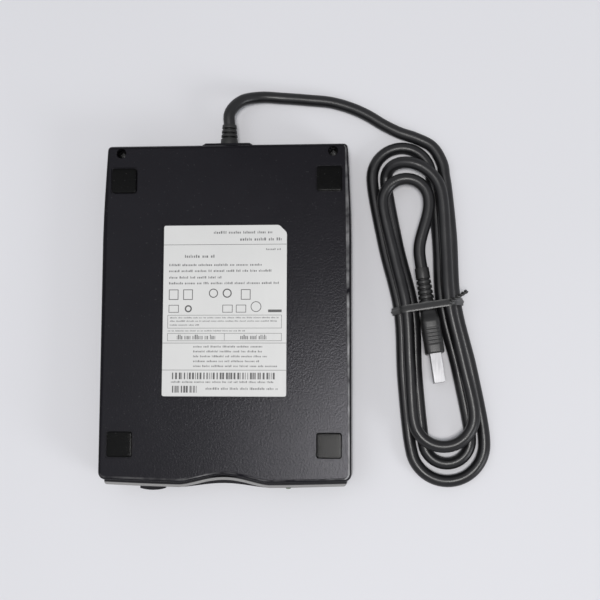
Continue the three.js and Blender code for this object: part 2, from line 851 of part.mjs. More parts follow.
// A wire of round section along points, as one closed tube with flat ends.
class PointPath extends THREE.Curve {
  constructor(points) {
    super();
    this.points = points;
  }
  getPoint(share) {
    const at = share * (this.points.length - 1);
    const i = Math.min(Math.floor(at + mergeDistance), this.points.length - 2);
    return this.points[i].clone().lerp(this.points[i + 1], at - i);
  }
  getPointAt(share) {
    return this.getPoint(share);
  }
  getTangentAt(share) {
    const last = this.points.length - 1;
    const i = Math.round(share * last);
    const before = this.points[Math.max(0, i - 1)];
    const after = this.points[Math.min(last, i + 1)];
    const into = this.points[i].clone().sub(before).normalize();
    const out = after.clone().sub(this.points[i]).normalize();
    return into.add(out).normalize();
  }
}

function ring(radius, sides) {
  const turn = Math.PI / sides;
  const corner = (i) => turn + (i * 2 * Math.PI) / sides;
  return new THREE.Shape(
    Array.from({ length: sides }, (_, i) => {
      return new THREE.Vector2(radius * Math.cos(corner(i)), radius * Math.sin(corner(i)));
    }),
  );
}

function tube(points, radius, sides) {
  return new THREE.ExtrudeGeometry(ring(radius, sides), {
    steps: points.length - 1,
    extrudePath: new PointPath(points),
    bevelEnabled: false,
  });
}

// A coil of wire round X, Y or Z that starts at its low end.
function coil(radius, wire, turns, length, axis) {
  const stepsPerTurn = 8;
  const sides = 5;
  const points = Array.from({ length: turns * stepsPerTurn + 1 }, (_, i) => {
    const angle = (i * 2 * Math.PI) / stepsPerTurn;
    const along = (length * i) / (turns * stepsPerTurn);
    const across = [radius * Math.cos(angle), radius * Math.sin(angle)];
    if (axis === "x") return new THREE.Vector3(along, ...across);
    if (axis === "y") return new THREE.Vector3(across[1], along, across[0]);
    return new THREE.Vector3(...across, along);
  });
  return tube(points, wire / 2, sides);
}

const flapSpringSpan = flapSpringLength - 2 * fitGap - flapSpringWire;
const flapSpringX = flapHalfWidth - flapSpringLength + fitGap + flapSpringWire / 2;
const flapSpring = coil(flapSpringRadius, flapSpringWire, flapSpringTurns, flapSpringSpan, "x");
add(casing, "flap_spring", flapSpring, "steel", [flapSpringX, flapPinY, flapPinZ]);

// The button is a block with a bowed front, slotted behind for the slide plate's tab.
function button() {
  const half = buttonWidth / 2;
  const steps = 8;
  const front = Array.from({ length: steps + 1 }, (_, i) => {
    const share = (2 * i) / steps - 1;
    const proud = buttonCornerProud + (buttonProud - buttonCornerProud) * (1 - share ** 2);
    return new THREE.Vector2(half * share, -proud);
  });
  const rear = buttonLength - buttonProud;
  const outline = [...front, new THREE.Vector2(half, rear), new THREE.Vector2(-half, rear)];
  const body = roundedSlab(outline, 0, buttonHeight, bezelEdgeRound, false, 2);
  const tabWay = block(
    both(slideTabHalfWidth + fitGap),
    [rear - buttonSlotDepth, rear + overrun],
    [-overrun, slideTopZ - buttonLowZ + fitGap],
  );
  return body.subtract(tabWay);
}

add(casing, "eject_button", button(), "case", [buttonX, frontY, buttonLowZ]);

// The lamp is a clear plug with a flange behind the bezel.
function lamp() {
  const steps = 4;
  const length = bezelBackDepth + glueGap;
  const dome = Array.from({ length: steps }, (_, i) => {
    const angle = (i * Math.PI) / (2 * steps);
    return [lampRadius * Math.cos(angle), length + lampDomeHeight * Math.sin(angle)];
  });
  return turned(
    [
      [0, -lampFlangeThickness],
      [lampFlangeRadius, -lampFlangeThickness],
      [lampFlangeRadius, 0],
      [lampRadius, 0],
      ...dome,
      [0, length + lampDomeHeight],
    ],
    barSides,
  );
}

const lampSeatY = bezelBackY + glueGap;
add(casing, "led_lens", lamp(), "lamp", [lampX, lampSeatY, lampZ], [Math.PI / 2, 0, 0]);

// Feet, label and case screws
const footHeight = footRecessDepth + footProud - glueGap;
for (const [name, x, y] of footPlaces) {
  const outline = roundedRectangle(footSide, footSide, footCornerRadius).getPoints(3);
  const foot = roundedSlab(outline, 0, footHeight, footEdgeRound, false, 2);
  add(casing, name, foot, "rubber", [x, y, footRecessZ + glueGap]);
}

const label = slab(labelOutline(0), 0, labelThickness);
add(casing, "rating_label", label, "label", [0, 0, labelRecessZ + glueGap / 2]);

function caseScrew() {
  const tip = screwTipZ - screwSeatZ;
  const made = turned(
    [
      [0, tip],
      [screwShankRadius / 2, tip],
      [screwShankRadius, tip + screwShankRadius],
      [screwShankRadius, glueGap],
      [screwHeadRadius, glueGap],
      [screwHeadRadius, screwHeadHeight - screwHeadRadius / 4],
      [screwHeadRadius / 2, screwHeadHeight],
      [0, screwHeadHeight],
    ],
    barSides,
  );
  const depth = [screwHeadHeight - screwCrossDepth, screwHeadHeight + overrun];
  const long = around(0, screwCrossLength);
  const narrow = around(0, screwCrossWidth);
  return made.subtract(block(long, narrow, depth)).subtract(block(narrow, long, depth));
}

for (const [side, x] of screwPlaces) {
  add(casing, `case_screw_${side}`, caseScrew(), "darkSteel", [x, screwY, screwSeatZ]);
}

// Strain relief: a flange inside the wall, a neck through it, and a grooved boot that narrows outwards.
function reliefProfile() {
  const wallIn = -wallThickness - plinthProud;
  const footLow = fitGap;
  const narrowing = (reliefFootRadius - reliefTipRadius) / reliefLength;
  const radiusAt = (z) => reliefFootRadius - narrowing * (z - footLow);
  const profile = [
    [0, wallIn - fitGap - reliefFlangeThickness],
    [reliefFlangeRadius, wallIn - fitGap - reliefFlangeThickness],
    [reliefFlangeRadius, wallIn - fitGap],
    [reliefNeckRadius, wallIn - fitGap],
    [reliefNeckRadius, footLow],
    [reliefFootRadius, footLow],
  ];
  for (let i = 0; i < reliefGrooves; i++) {
    const low = footLow + reliefGroovePitch * (i + 1) - reliefGrooveWidth / 2;
    const high = low + reliefGrooveWidth;
    profile.push([radiusAt(low), low]);
    profile.push([radiusAt(low) - reliefGrooveDepth, low + reliefGrooveWidth / 4]);
    profile.push([radiusAt(high) - reliefGrooveDepth, high - reliefGrooveWidth / 4]);
    profile.push([radiusAt(high), high]);
  }
  const end = footLow + reliefLength;
  profile.push([reliefTipRadius, end - reliefTipRound]);
  profile.push([reliefTipRadius - reliefTipRound, end]);
  profile.push([0, end]);
  return profile;
}

add(
  cord,
  "cord_strain_relief",
  turned(reliefProfile(), collarSides),
  "trim",
  [0, rearY + plinthProud, cordExitZ],
  [-Math.PI / 2, 0, 0],
);

const bootTipY = plugGripStartY + bootLength;

// Hank: one strand wound three times round two bends, in two layers, drawn in at the waist for the tie.
const smooth = (share) => THREE.MathUtils.smoothstep(share, 0, 1);
const bendSteps = (hankStepsPerTurn - 2 * hankRunSteps) / 2;
const halfRun = hankRunSteps / 2;
const hankLayerStep = cordDiameter + hankStrandGap;
const waistLift = tieThickness + tieGap;
const climbStart = 1 + (halfRun + bendSteps + hankRunSteps) / hankStepsPerTurn;
const climbLength = bendSteps / hankStepsPerTurn;

function hankPoint(step) {
  const turn = step / hankStepsPerTurn;
  const phase = THREE.MathUtils.euclideanModulo(step, hankStepsPerTurn);
  const climbed = smooth((turn - climbStart) / climbLength);
  const raised = smooth((turn - climbStart) / (climbLength * hankClimbShare));
  const radius = hankHalfWidth - hankSidePitch * (turn - hankLayerTurns * climbed);
  const straight = hankHalfLength - hankEndPitch * turn - radius;
  const farBend = halfRun + bendSteps;
  const backRun = farBend + hankRunSteps;
  const nearBend = backRun + bendSteps;
  let x = radius;
  let y = (-straight * phase) / halfRun;
  if (phase >= halfRun && phase < farBend) {
    const angle = (Math.PI * (phase - halfRun)) / bendSteps;
    x = radius * Math.cos(angle);
    y = -straight - radius * Math.sin(angle);
  } else if (phase >= farBend && phase < backRun) {
    x = -radius;
    y = -straight + (2 * straight * (phase - farBend)) / hankRunSteps;
  } else if (phase >= backRun && phase < nearBend) {
    const angle = (Math.PI * (phase - backRun)) / bendSteps;
    x = -radius * Math.cos(angle);
    y = straight + radius * Math.sin(angle);
  } else if (phase >= nearBend) {
    y = (straight * (hankStepsPerTurn - phase)) / halfRun;
  }
  const waist = Math.cos((Math.PI / 2) * Math.min(1, Math.abs(y) / hankWaistHalfLength)) ** 2;
  x -= Math.sign(x) * hankDrawIn * waist * Math.min(1, Math.abs(x) / hankDrawIn / 2);
  return new THREE.Vector3(x, y, cordRadius + hankLayerStep * raised + waistLift * waist ** 2);
}

function hankPath() {
  const points = [];
  const first = hankPoint(hankStartStep);
  points.push(first.clone().setY(first.y + cordDiameter), first);
  for (let step = Math.ceil(hankStartStep); step <= hankEndStep; step++) points.push(hankPoint(step));
  const from = hankPoint(hankEndStep);
  const to = new THREE.Vector3(plugX, bootTipY + fitGap + cordDiameter, plugHeight / 2);
  for (let i = 1; i <= hankEntrySteps; i++) {
    const share = i / hankEntrySteps;
    points.push(
      new THREE.Vector3(
        THREE.MathUtils.lerp(from.x, to.x, smooth(share)),
        THREE.MathUtils.lerp(from.y, to.y, share),
        THREE.MathUtils.lerp(from.z, to.z, smooth(share)),
      ),
    );
  }
  points.push(to.clone().setY(to.y - cordDiameter));
  return points;
}

const hankPoints = hankPath();

// The least space between two parts of one strand that are far apart along it.
function leastGap(points, diameter) {
  const samples = [];
  let along = 0;
  for (let i = 0; i + 1 < points.length; i++) {
    const length = points[i].distanceTo(points[i + 1]);
    for (let k = 0; k < gapSamples; k++) {
      const share = k / gapSamples;
      samples.push([points[i].clone().lerp(points[i + 1], share), along + length * share]);
    }
    along += length;
  }
  let least = Infinity;
  for (const [place, at] of samples) {
    for (const [other, otherAt] of samples) {
      if (otherAt - at > 3 * diameter) least = Math.min(least, place.distanceTo(other) - diameter);
    }
  }
  return { least, along };
}

const hank = new THREE.Group();
hank.position.set(hankX, hankY, 0);
hank.rotation.z = THREE.MathUtils.degToRad(hankTurn);
cord.add(hank);
add(hank, "cord_hank", tube(hankPoints, cordRadius, hankSides), "cord");

// Lead from the strain relief to the hank: chosen by hand, apart from its two straight ends.
hank.updateMatrixWorld(true);
const hankStart = hank.localToWorld(hankPoints[0].clone());
const hankUp = new THREE.Vector3(0, 1, 0).applyEuler(hank.rotation);
const leadStart = new THREE.Vector3(0, reliefTipY + fitGap, cordExitZ);
const leadEnd = hankStart.clone().addScaledVector(hankUp, fitGap);
const leadRoute = [
  [4.6, 92.3, 6.9],
  [12.5, 94.6, 4.1],
  [22, 94.4, 2.6],
  [33, 93.4, 2.5],
  [43, 92.2, 2.5],
  [51.5, 89.6, 2.5],
  [58.7, 86.2, 2.5],
  [65.2, 82.1, 2.5],
  [72, 78.6, 2.5],
  [79.2, 76, 2.5],
  [86, 72.2, 2.5],
];
const leadLine = new THREE.CatmullRomCurve3([
  leadStart,
  leadStart.clone().setY(leadStart.y + cordDiameter),
  ...leadRoute.map((place) => new THREE.Vector3(...place)),
  leadEnd.clone().addScaledVector(hankUp, cordDiameter),
  leadEnd,
]);
const leadSteps = Math.round(leadLine.getLength() / (cordDiameter * leadStepDiameters));
const leadPoints = [leadStart, ...leadLine.getSpacedPoints(leadSteps).slice(1, -1), leadEnd];
add(cord, "cord_lead", tube(leadPoints, cordRadius, cordSides), "cord");

const hankFigures = leastGap(hankPoints, cordDiameter);
console.log(`hank: least gap ${hankFigures.least.toFixed(2)} mm, strand ${hankFigures.along.toFixed(0)} mm`);
console.log(`lead: ${leadLine.getLength().toFixed(0)} mm`);

// Tail of the cord inside the case, from the strain relief to its socket
const socketMouthX = socketX + socketLength / 2;
const tailZ = boardLowZ + boardThickness + glueGap + socketHeight / 2 + glueGap;
const tailRoute = [
  [-1.4, 8.6, 9.4],
  [-4.6, 11.1, 10.7],
  [-8.8, 13, 12.7],
  [-13.4, 14.8, 13.9],
];
const tailPlaces = [
  [0, reliefFlangeY, cordExitZ],
  [0, reliefFlangeY - tailDiameter / 2, cordExitZ],
  ...tailRoute.map(([x, fromRear, z]) => [x, rearY - fromRear, z]),
  [socketMouthX + tailDiameter, socketY, tailZ],
  [socketMouthX + fitGap, socketY, tailZ],
];
const tailLine = new THREE.CatmullRomCurve3(tailPlaces.map((place) => new THREE.Vector3(...place)));
add(cord, "cord_tail", tube(tailLine.getSpacedPoints(tailSteps), tailDiameter / 2, cordSides), "cord");

// Plug on its narrow edge, with a grooved boot towards the hank
const plug = new THREE.Group();
plug.position.set(plugX, plugGripStartY, plugHeight / 2);
hank.add(plug);

function plugGrip() {
  const length = plugGripLength;
  const outline = [
    [-plugNeckHeight / 2, 0],
    [plugNeckHeight / 2, 0],
    [plugHeight / 2, -plugShoulderLength],
    [plugHeight / 2, -length],
    [-plugHeight / 2, -length],
    [-plugHeight / 2, -plugShoulderLength],
  ].map(([x, y]) => new THREE.Vector2(x, y));
  const side = slab(outline, -plugThickness / 2, plugThickness / 2).rotate([0, 90, 0]);
  const narrow = [
    [-plugNeckWidth / 2, 0],
    [plugNeckWidth / 2, 0],
    [plugThickness / 2, -plugShoulderLength],
    [plugThickness / 2, -length],
    [-plugThickness / 2, -length],
    [-plugThickness / 2, -plugShoulderLength],
  ].map(([x, y]) => new THREE.Vector2(x, y));
  const face = slab(narrow, -plugHeight / 2, plugHeight / 2);
  const ends = roundedRectangle(plugThickness, plugHeight, plugCornerRadius);
  const rounded = slab(ends, 0, length).rotate([90, 0, 0]);
  const profile = [[0, -overrun]];
  profile.push([bootFootRadius, -overrun]);
  const radiusAt = (z) => bootFootRadius + ((bootTipRadius - bootFootRadius) * z) / bootLength;
  for (let i = 0; i < bootGrooves; i++) {
    const low = bootGroovePitch * (i + 1);
    const high = low + bootGrooveWidth;
    profile.push([radiusAt(low), low]);
    profile.push([radiusAt(low) - bootGrooveDepth, low + bootGrooveWidth / 4]);
    profile.push([radiusAt(high) - bootGrooveDepth, high - bootGrooveWidth / 4]);
    profile.push([radiusAt(high), high]);
  }
  profile.push([bootTipRadius, bootLength]);
  profile.push([0, bootLength]);
  const boot = turned(profile, barSides).rotate([-90, 0, 0]);
  const pocket = block(
    both(plugShellThickness / 2 + glueGap),
    [-length - overrun, -length + plugShellSeat + fitGap],
    both(plugShellWidth / 2 + glueGap),
  );
  return side.intersect(face).intersect(rounded).add(boot).subtract(pocket);
}

add(plug, "usb_plug_grip", plugGrip(), "trim");

const shellTipY = -plugGripLength - plugShellLength;

function plugShell() {
  const along = [shellTipY, -plugGripLength + plugShellSeat];
  let made = block(both(plugShellThickness / 2), along, both(plugShellWidth / 2));
  const hollow = block(
    both(plugShellThickness / 2 - plugShellWall),
    [shellTipY - overrun, along[1] - plugShellWall],
    both(plugShellWidth / 2 - plugShellWall),
  );
  made = made.subtract(hollow);
  for (const z of both(plugWindowSpacing / 2)) {
    const window = block(
      both(plugShellThickness),
      around(shellTipY + plugWindowFromTip, plugWindowSide),
      around(z, plugWindowSide),
    );
    made = made.subtract(window);
  }
  return made;
}

add(plug, "usb_plug_shell", plugShell(), "steel");

const tongueX = plugShellThickness / 2 - plugShellWall - glueGap;
const tongueRearY = -plugGripLength + plugShellSeat - plugShellWall - glueGap;
const tongue = block(
  [tongueX - tongueThickness, tongueX],
  [tongueRearY - tongueLength, tongueRearY],
  both(tongueWidth / 2),
);
add(plug, "usb_plug_tongue", tongue, "white");

// A twisted rod with two lobes, up from zero along Z.
function twistedRod(radius, lobe, length, pitch, sides, stepsPerTurn) {
  const steps = Math.max(2, Math.round((length / pitch) * stepsPerTurn));
  const geometry = new THREE.CylinderGeometry(radius, radius, length, sides, steps);
  geometry.rotateX(Math.PI / 2);
  geometry.translate(0, 0, length / 2);
  const place = geometry.attributes.position;
  for (let i = 0; i < place.count; i++) {
    const x = place.getX(i);
    const y = place.getY(i);
    const away = Math.hypot(x, y);
    if (away < radius / 2) continue;
    const angle = Math.atan2(y, x);
    const grown = away + lobe * Math.cos(2 * angle);
    const turned = angle + (place.getZ(i) * 2 * Math.PI) / pitch;
    place.setXY(i, grown * Math.cos(turned), grown * Math.sin(turned));
  }
  return solid(geometry);
}

// Tie: a band pulled round the strands and the boot, with its twisted ends on top.
function convexHull(points) {
  const sorted = [...points].sort((a, b) => a.x - b.x || a.y - b.y);
  const half = (list) => {
    const kept = [];
    for (const point of list) {
      while (kept.length > 1) {
        const a = kept[kept.length - 2];
        const b = kept[kept.length - 1];
        if ((b.x - a.x) * (point.y - a.y) - (b.y - a.y) * (point.x - a.x) > 0) break;
        kept.pop();
      }
      kept.push(point);
    }
    return kept.slice(0, -1);
  };
  return [...half(sorted), ...half(sorted.reverse())];
}

function tieOutline(away) {
  const crossings = Array.from({ length: tieCrossings }, (_, i) => hankPoint((i * hankStepsPerTurn) / 2));
  const circles = crossings.map((middle) => [middle, cordRadius]);
  circles.push([new THREE.Vector3(plugX, 0, plugHeight / 2), bootFootRadius]);
  const rims = circles.flatMap(([middle, radius]) => {
    return arc(middle.x, middle.z, radius + away, 0, 2 * Math.PI, turnedSides);
  });
  return convexHull(rims);
}

function tie() {
  const outer = slab(tieOutline(tieGap + tieThickness), -tieWidth / 2, tieWidth / 2);
  const inner = slab(tieOutline(tieGap), -tieWidth, tieWidth);
  const band = outer.subtract(inner).rotate([90, 0, 0]);
  const middle = tieOutline(tieGap + tieThickness / 2);
  const top = middle.reduce((best, point) => (point.y > best.y ? point : best));
  const tail = twistedRod(tieTailRadius, tieTailLobe, tieTailLength, tieTailPitch, 8, 8);
  return band.add(tail.rotate(tieTailTilt).translate([top.x, 0, top.y]));
}

add(hank, "cord_tie", tie(), "trim");

// Places inside the mechanism that follow from the sizes above
const holderHalfWidth = chassisHalfWidth - chassisWall - wallGap - slideSheet - wallGap;
const slideFlangeX = holderHalfWidth + fitGap;
const slideOuterX = slideFlangeX + slideSheet;
const leadScrewSwing = leadScrewRadius + leadScrewLobe;
const springRearY = slideHookY + springTabLength + springLength + 2 * fitGap;
const hookX = [slideFlangeX - springTabWidth, slideFlangeX + slideSheet / 2];
const axleTabY = [carriageWindowFrontY - bearingTabThickness, carriageWindowRearY + fitGap];
const switchPlaces = Array.from({ length: switchCount }, (_, i) => {
  return switchX + (i - (switchCount - 1) / 2) * switchSpacing;
});

// A block on one side of the middle, with x given for the right side.
function sideBlock(side, x, y, z) {
  const ends = [side * x[0], side * x[1]].sort((a, b) => a - b);
  return block(ends, y, z);
}

function mirrored(x, y, z) {
  return sideBlock(1, x, y, z).add(sideBlock(-1, x, y, z));
}

// A flat bar with round ends between two places.
function strap(from, to, halfWidth, lowZ, highZ) {
  const angle = Math.atan2(to[1] - from[1], to[0] - from[0]);
  const right = angle - Math.PI / 2;
  const points = [
    ...arc(to[0], to[1], halfWidth, right, right + Math.PI, 6),
    ...arc(from[0], from[1], halfWidth, right + Math.PI, right + 2 * Math.PI, 6),
  ];
  return slab(points, lowZ, highZ);
}

// Chassis: a deck, two side walls, and the tabs that carry the rods and springs.
function driveChassis() {
  const along = [chassisFrontY, chassisRearY];
  let made = block(both(chassisHalfWidth), along, [deckLowZ, deckTopZ]);
  const wall = [chassisHalfWidth - chassisWall, chassisHalfWidth];
  made = made.add(mirrored(wall, along, [chassisWallLowZ, deckTopZ]));
  made = made.subtract(bar("z", rotorWindowRadius, [0, caseThickness], [0, spindleY, 0], rotorSides));
  const window = [-carriageWindowHalfLeft, carriageWindowHalfRight];
  made = made.subtract(block(window, [carriageWindowFrontY, carriageWindowRearY], [0, caseThickness]));
  const rear = chassisRearY + overrun;
  made = made.subtract(block([leadWayLeftX, leadWayRightX], [leadWayFrontY, rear], [0, caseThickness]));
  const canWay = around(screwAxisX, 2 * (motorCanRadius + fitGap));
  made = made.subtract(block(canWay, [motorFrontY - fitGap, rear], [0, caseThickness]));
  const pinWayZ = [holderPinZ - slideSlotRadius, holderPinZ + holderTravel + slideSlotRadius];
  for (const y of [holderPinFrontY, holderPinRearY]) {
    made = made.subtract(block(both(caseWidth), around(y, 2 * slideSlotRadius), pinWayZ));
  }
  for (const x of switchPlaces) {
    made = made.subtract(bar("z", plungerRadius + fitGap, [0, caseThickness], [x, switchY, 0], pinSides));
  }
  for (const y of axleTabY) {
    for (const x of [guideAxisX, screwAxisX]) {
      const high = [deckTopZ - sheet / 2, bearingTabTopZ];
      made = made.add(block(around(x, bearingTabWidth), [y, y + bearingTabThickness], high));
    }
  }
  const through = [axleTabY[0] - overrun, axleTabY[1] + overrun];
  made = made.subtract(bar("y", guideRadius + fitGap, through, [guideAxisX, 0, screwAxisZ], pinSides));
  made = made.subtract(bar("y", leadScrewSwing + fitGap, through, [screwAxisX, 0, screwAxisZ], barSides));
  const springTabY = [springRearY, springRearY + springTabLength];
  made = made.add(mirrored(hookX, springTabY, [springZ - springRadius, deckLowZ + sheet / 2]));
  const pivot = [leverPivotX, leverPivotY, 0];
  const post = bar("z", leverPostRadius, [leverLowZ - slideSheet, deckLowZ + sheet / 2], pivot, barSides);
  const headZ = [leverLowZ - slideSheet - fitGap, leverLowZ - fitGap];
  const head = bar("z", leverHubRadius, headZ, pivot, barSides);
  return made.add(post).add(head);
}

add(mechanism, "drive_chassis", driveChassis(), "steel");

// Shield: the sheet that closes the mechanism towards the top cover.
function shield() {
  const heights = [upperArmLowZ, upperArmLowZ + shieldThickness];
  const made = block(both(chassisHalfWidth), [chassisFrontY, chassisRearY], heights);
  const window = [armWindowFrontY, chassisRearY - shieldRearStrip];
  return made.subtract(block(both(armWindowHalfWidth), window, [0, caseThickness]));
}

add(mechanism, "chassis_cover", shield(), "steel");

// Disk holder: a tray with turned-in edges and four pins that ride in the slide plate's slots.
function holder() {
  const along = [holderFrontY, holderRearY];
  const wall = [holderHalfWidth - holderSheet, holderHalfWidth];
  let made = block(both(holderHalfWidth), along, [holderLowZ, holderLowZ + holderSheet]);
  made = made.add(mirrored(wall, along, [holderLowZ, holderTopZ]));
  const barWay = [holderFrontY - overrun, slideFrontY + slideBarWidth + 2 * fitGap];
  made = made.subtract(block(both(caseWidth), barWay, [holderTopZ - holderWallStep, caseThickness]));
  const flange = [holderHalfWidth - holderSheet - holderFlangeDepth, holderHalfWidth];
  const flangeY = [holderFlangeFrontY, holderFlangeRearY];
  made = made.add(mirrored(flange, flangeY, [holderTopZ - holderSheet, holderTopZ]));
  const window = [holderWindowFrontY, holderRearY + overrun];
  made = made.subtract(block(both(holderWindowHalfWidth), window, [0, caseThickness]));
  for (const y of [holderPinFrontY, holderPinRearY]) {
    for (const side of [-1, 1]) {
      const ends = [side * (holderHalfWidth - holderSheet / 2), side * (chassisHalfWidth - glueGap)];
      const pin = bar("x", holderPinRadius, ends.sort((a, b) => a - b), [0, y, holderPinZ], pinSides);
      made = made.add(pin);
    }
  }
  return made;
}

add(mechanism, "disk_holder", holder(), "steel");

// Slide plate: two side flanges with slanted slots, joined by a bar at the front that the button sits on.
function slidePlate() {
  const flange = [slideFlangeX, slideOuterX];
  const barZ = [slideTopZ - slideSheet, slideTopZ];
  let made = mirrored(flange, [slideFrontY, slideRearY], [slideLowZ, slideTopZ]);
  made = made.add(block(both(slideOuterX), [slideFrontY, slideFrontY + slideBarWidth], barZ));
  const tabEndY = frontY + buttonLength - buttonProud - buttonSlotDepth + fitGap;
  const tabX = around(buttonX, 2 * slideTabHalfWidth);
  made = made.add(block(tabX, [tabEndY, slideFrontY + slideBarWidth], barZ));
  const hookZ = around(springZ, 2 * slideHookHalfHeight);
  made = made.add(mirrored(flange, [slideRearY - slideBarWidth, slideHookY + springTabLength], hookZ));
  made = made.add(mirrored([hookX[0], slideOuterX], [slideHookY, slideHookY + springTabLength], hookZ));
  for (const y of [holderPinFrontY, holderPinRearY]) {
    const slotEnd = [y + slideTravel, holderPinZ + holderTravel];
    const slot = strap([y, holderPinZ], slotEnd, slideSlotRadius, -caseWidth, caseWidth);
    made = made.subtract(slot.rotate([90, 0, 90]));
  }
  return made;
}

add(mechanism, "slide_plate", slidePlate(), "darkSteel");

for (const [side, sign] of [["left", -1], ["right", 1]]) {
  const x = sign * (hookX[0] + springTabWidth / 2);
  const start = slideHookY + springTabLength + fitGap + springWire / 2;
  const spring = coil(springRadius - springWire / 2, springWire, springTurns, springLength - springWire, "y");
  add(mechanism, `eject_spring_${side}`, spring, "steel", [x, start, springZ]);
}

// Latch lever: a disk pushes its arm back, and its tail then lets the slide plate go.
function lever() {
  const high = leverSheet;
  let made = bar("z", leverHubRadius, [0, high], [0, 0, 0], collarSides);
  made = made.add(strap([0, 0], [leverArmReach, -leverArmDrop], leverTipRadius, 0, high));
  made = made.add(strap([0, 0], [-leverTailLength / 2, leverTailLength], leverTipRadius, 0, high));
  return made.subtract(bar("z", leverPostRadius + fitGap, both(overrun), [0, 0, 0], barSides));
}

add(mechanism, "latch_lever", lever(), "darkSteel", [leverPivotX, leverPivotY, leverLowZ]);

// Spindle: a turning disc with its magnet rim, shaft and drive pin, and the fixed parts under it.
const spindle = new THREE.Group();
spindle.position.set(0, spindleY, 0);
mechanism.add(spindle);
const rotorTopZ = rotorLowZ + rotorThickness;
const statorTopZ = motorBoardLowZ - fitGap;

function rotor() {
  const made = turned(
    [
      [0, shaftTipZ],
      [shaftRadius - fitGap, shaftTipZ],
      [shaftRadius, shaftTipZ + fitGap],
      [shaftRadius, hubLowZ],
      [hubRadius, hubLowZ],
      [hubRadius, rotorLowZ],
      [rotorRadius, rotorLowZ],
      [rotorRadius, statorTopZ],
      [rotorRadius - rotorRim, statorTopZ],
      [rotorRadius - rotorRim, rotorTopZ],
      [shaftRadius, rotorTopZ],
      [shaftRadius, bearingTopZ - fitGap],
      [0, bearingTopZ - fitGap],
    ],
    rotorSides,
  );
  const pocket = bar("z", drivePinRadius + fitGap, [0, rotorTopZ - fitGap], [0, drivePinOffset, 0], pinSides);
  return made.subtract(pocket);
}

add(spindle, "spindle_rotor", rotor(), "steel");

const pinLowZ = hubLowZ - drivePinProud;
const pinLength = rotorTopZ - fitGap - glueGap - pinLowZ;
const drivePin = bar("z", drivePinRadius, [0, pinLength], [0, 0, 0], pinSides);
add(spindle, "drive_pin", drivePin, "brass", [0, drivePinOffset, pinLowZ]);

function stator() {
  const slice = (2 * Math.PI) / statorTeeth;
  const points = [];
  for (let i = 0; i < statorTeeth; i++) {
    const middle = i * slice;
    const neck = (slice * statorToothShare) / 2;
    const cap = (slice * statorCapShare) / 2;
    const capLow = statorToothRadius - statorCapDepth;
    points.push(...arc(0, 0, statorRootRadius, middle - slice / 2, middle - neck, 1));
    points.push(...arc(0, 0, capLow, middle - neck * (statorRootRadius / capLow), middle - cap, 1));
    points.push(...arc(0, 0, statorToothRadius, middle - cap, middle + cap, 3));
    points.push(...arc(0, 0, capLow, middle + cap, middle + neck * (statorRootRadius / capLow), 1));
    points.push(...arc(0, 0, statorRootRadius, middle + neck, middle + slice / 2, 1).slice(0, 1));
  }
  const made = slab(points, statorTopZ - statorThickness + glueGap, statorTopZ);
  return made.subtract(bar("z", statorBoreRadius, [0, caseThickness], [0, 0, 0], turnedSides));
}

add(spindle, "spindle_stator", stator(), "copper");

function motorBoard() {
  const high = motorBoardLowZ + boardThickness;
  const lengths = [motorBoardFrontY - spindleY, motorBoardRearY - spindleY];
  const made = block(both(motorBoardHalfWidth), lengths, [motorBoardLowZ, high]);
  return made.subtract(bar("z", bearingRadius + fitGap, [0, caseThickness], [0, 0, 0], turnedSides));
}

add(spindle, "motor_board", motorBoard(), "board");

function bearing() {
  const boardTop = motorBoardLowZ + boardThickness;
  const low = rotorTopZ + fitGap;
  const made = turned(
    [
      [0, low],
      [bearingRadius, low],
      [bearingRadius, boardTop + glueGap],
      [bearingRadius + bearingFlange, boardTop + glueGap],
      [bearingRadius + bearingFlange, boardTop + glueGap + slideSheet],
      [bearingRadius, boardTop + glueGap + slideSheet],
      [bearingRadius - fitGap, bearingTopZ],
      [0, bearingTopZ],
    ],
    turnedSides,
  );
  return made.subtract(bar("z", shaftRadius + fitGap, [0, caseThickness], [0, 0, 0], barSides));
}

add(spindle, "spindle_bearing", bearing(), "brass");

// Head carriage: a block on the guide rod, moved by the screw, with the lower head's tongue and two ears.
const tongueTopZ = headArmLowZ + headArmSheet;

function carriage() {
  const length = [carriageFrontY, carriageRearY];
  let made = block([-carriageHalfLeft, carriageHalfRight], length, [carriageLowZ, carriageTopZ]);
  const wellX = [-carriageHalfLeft + wallThickness + guideClear, carriageHalfRight - wallThickness];
  const wellY = [carriageFrontY + wallThickness, carriageRearY - wallThickness];
  made = made.subtract(block(wellX, wellY, [tongueTopZ, caseThickness]));
  const followerX = [carriageHalfRight - lap, screwAxisX + leadScrewSwing + followerWall];
  const followerZ = around(screwAxisZ, 2 * (leadScrewSwing + followerWall));
  made = made.add(block(followerX, [followerFrontY, followerRearY], followerZ));
  const tongueY = [headY - headHalfSide, carriageFrontY + sheet];
  made = made.add(block(both(tongueHalfWidth), tongueY, [headArmLowZ, tongueTopZ]));
  const all = [carriageFrontY - overrun, carriageRearY + overrun];
  made = made.subtract(bar("y", guideRadius + fitGap, all, [guideAxisX, 0, screwAxisZ], pinSides));
  made = made.subtract(bar("y", leadScrewSwing + fitGap, all, [screwAxisX, 0, screwAxisZ], barSides));
  const earWidth = [armHingeHalfWidth - armEarThickness, armHingeHalfWidth];
  const earY = around(armPivotY, 2 * armEarHalfLength);
  made = made.add(mirrored(earWidth, earY, [armPivotZ - armEarHalfLength, carriageLowZ + lap]));
  const pinWay = both(armHingeHalfWidth + overrun);
  return made.subtract(bar("x", armPivotRadius + fitGap, pinWay, [0, armPivotY, armPivotZ], pinSides));
}

add(mechanism, "head_carriage", carriage(), "moulding");

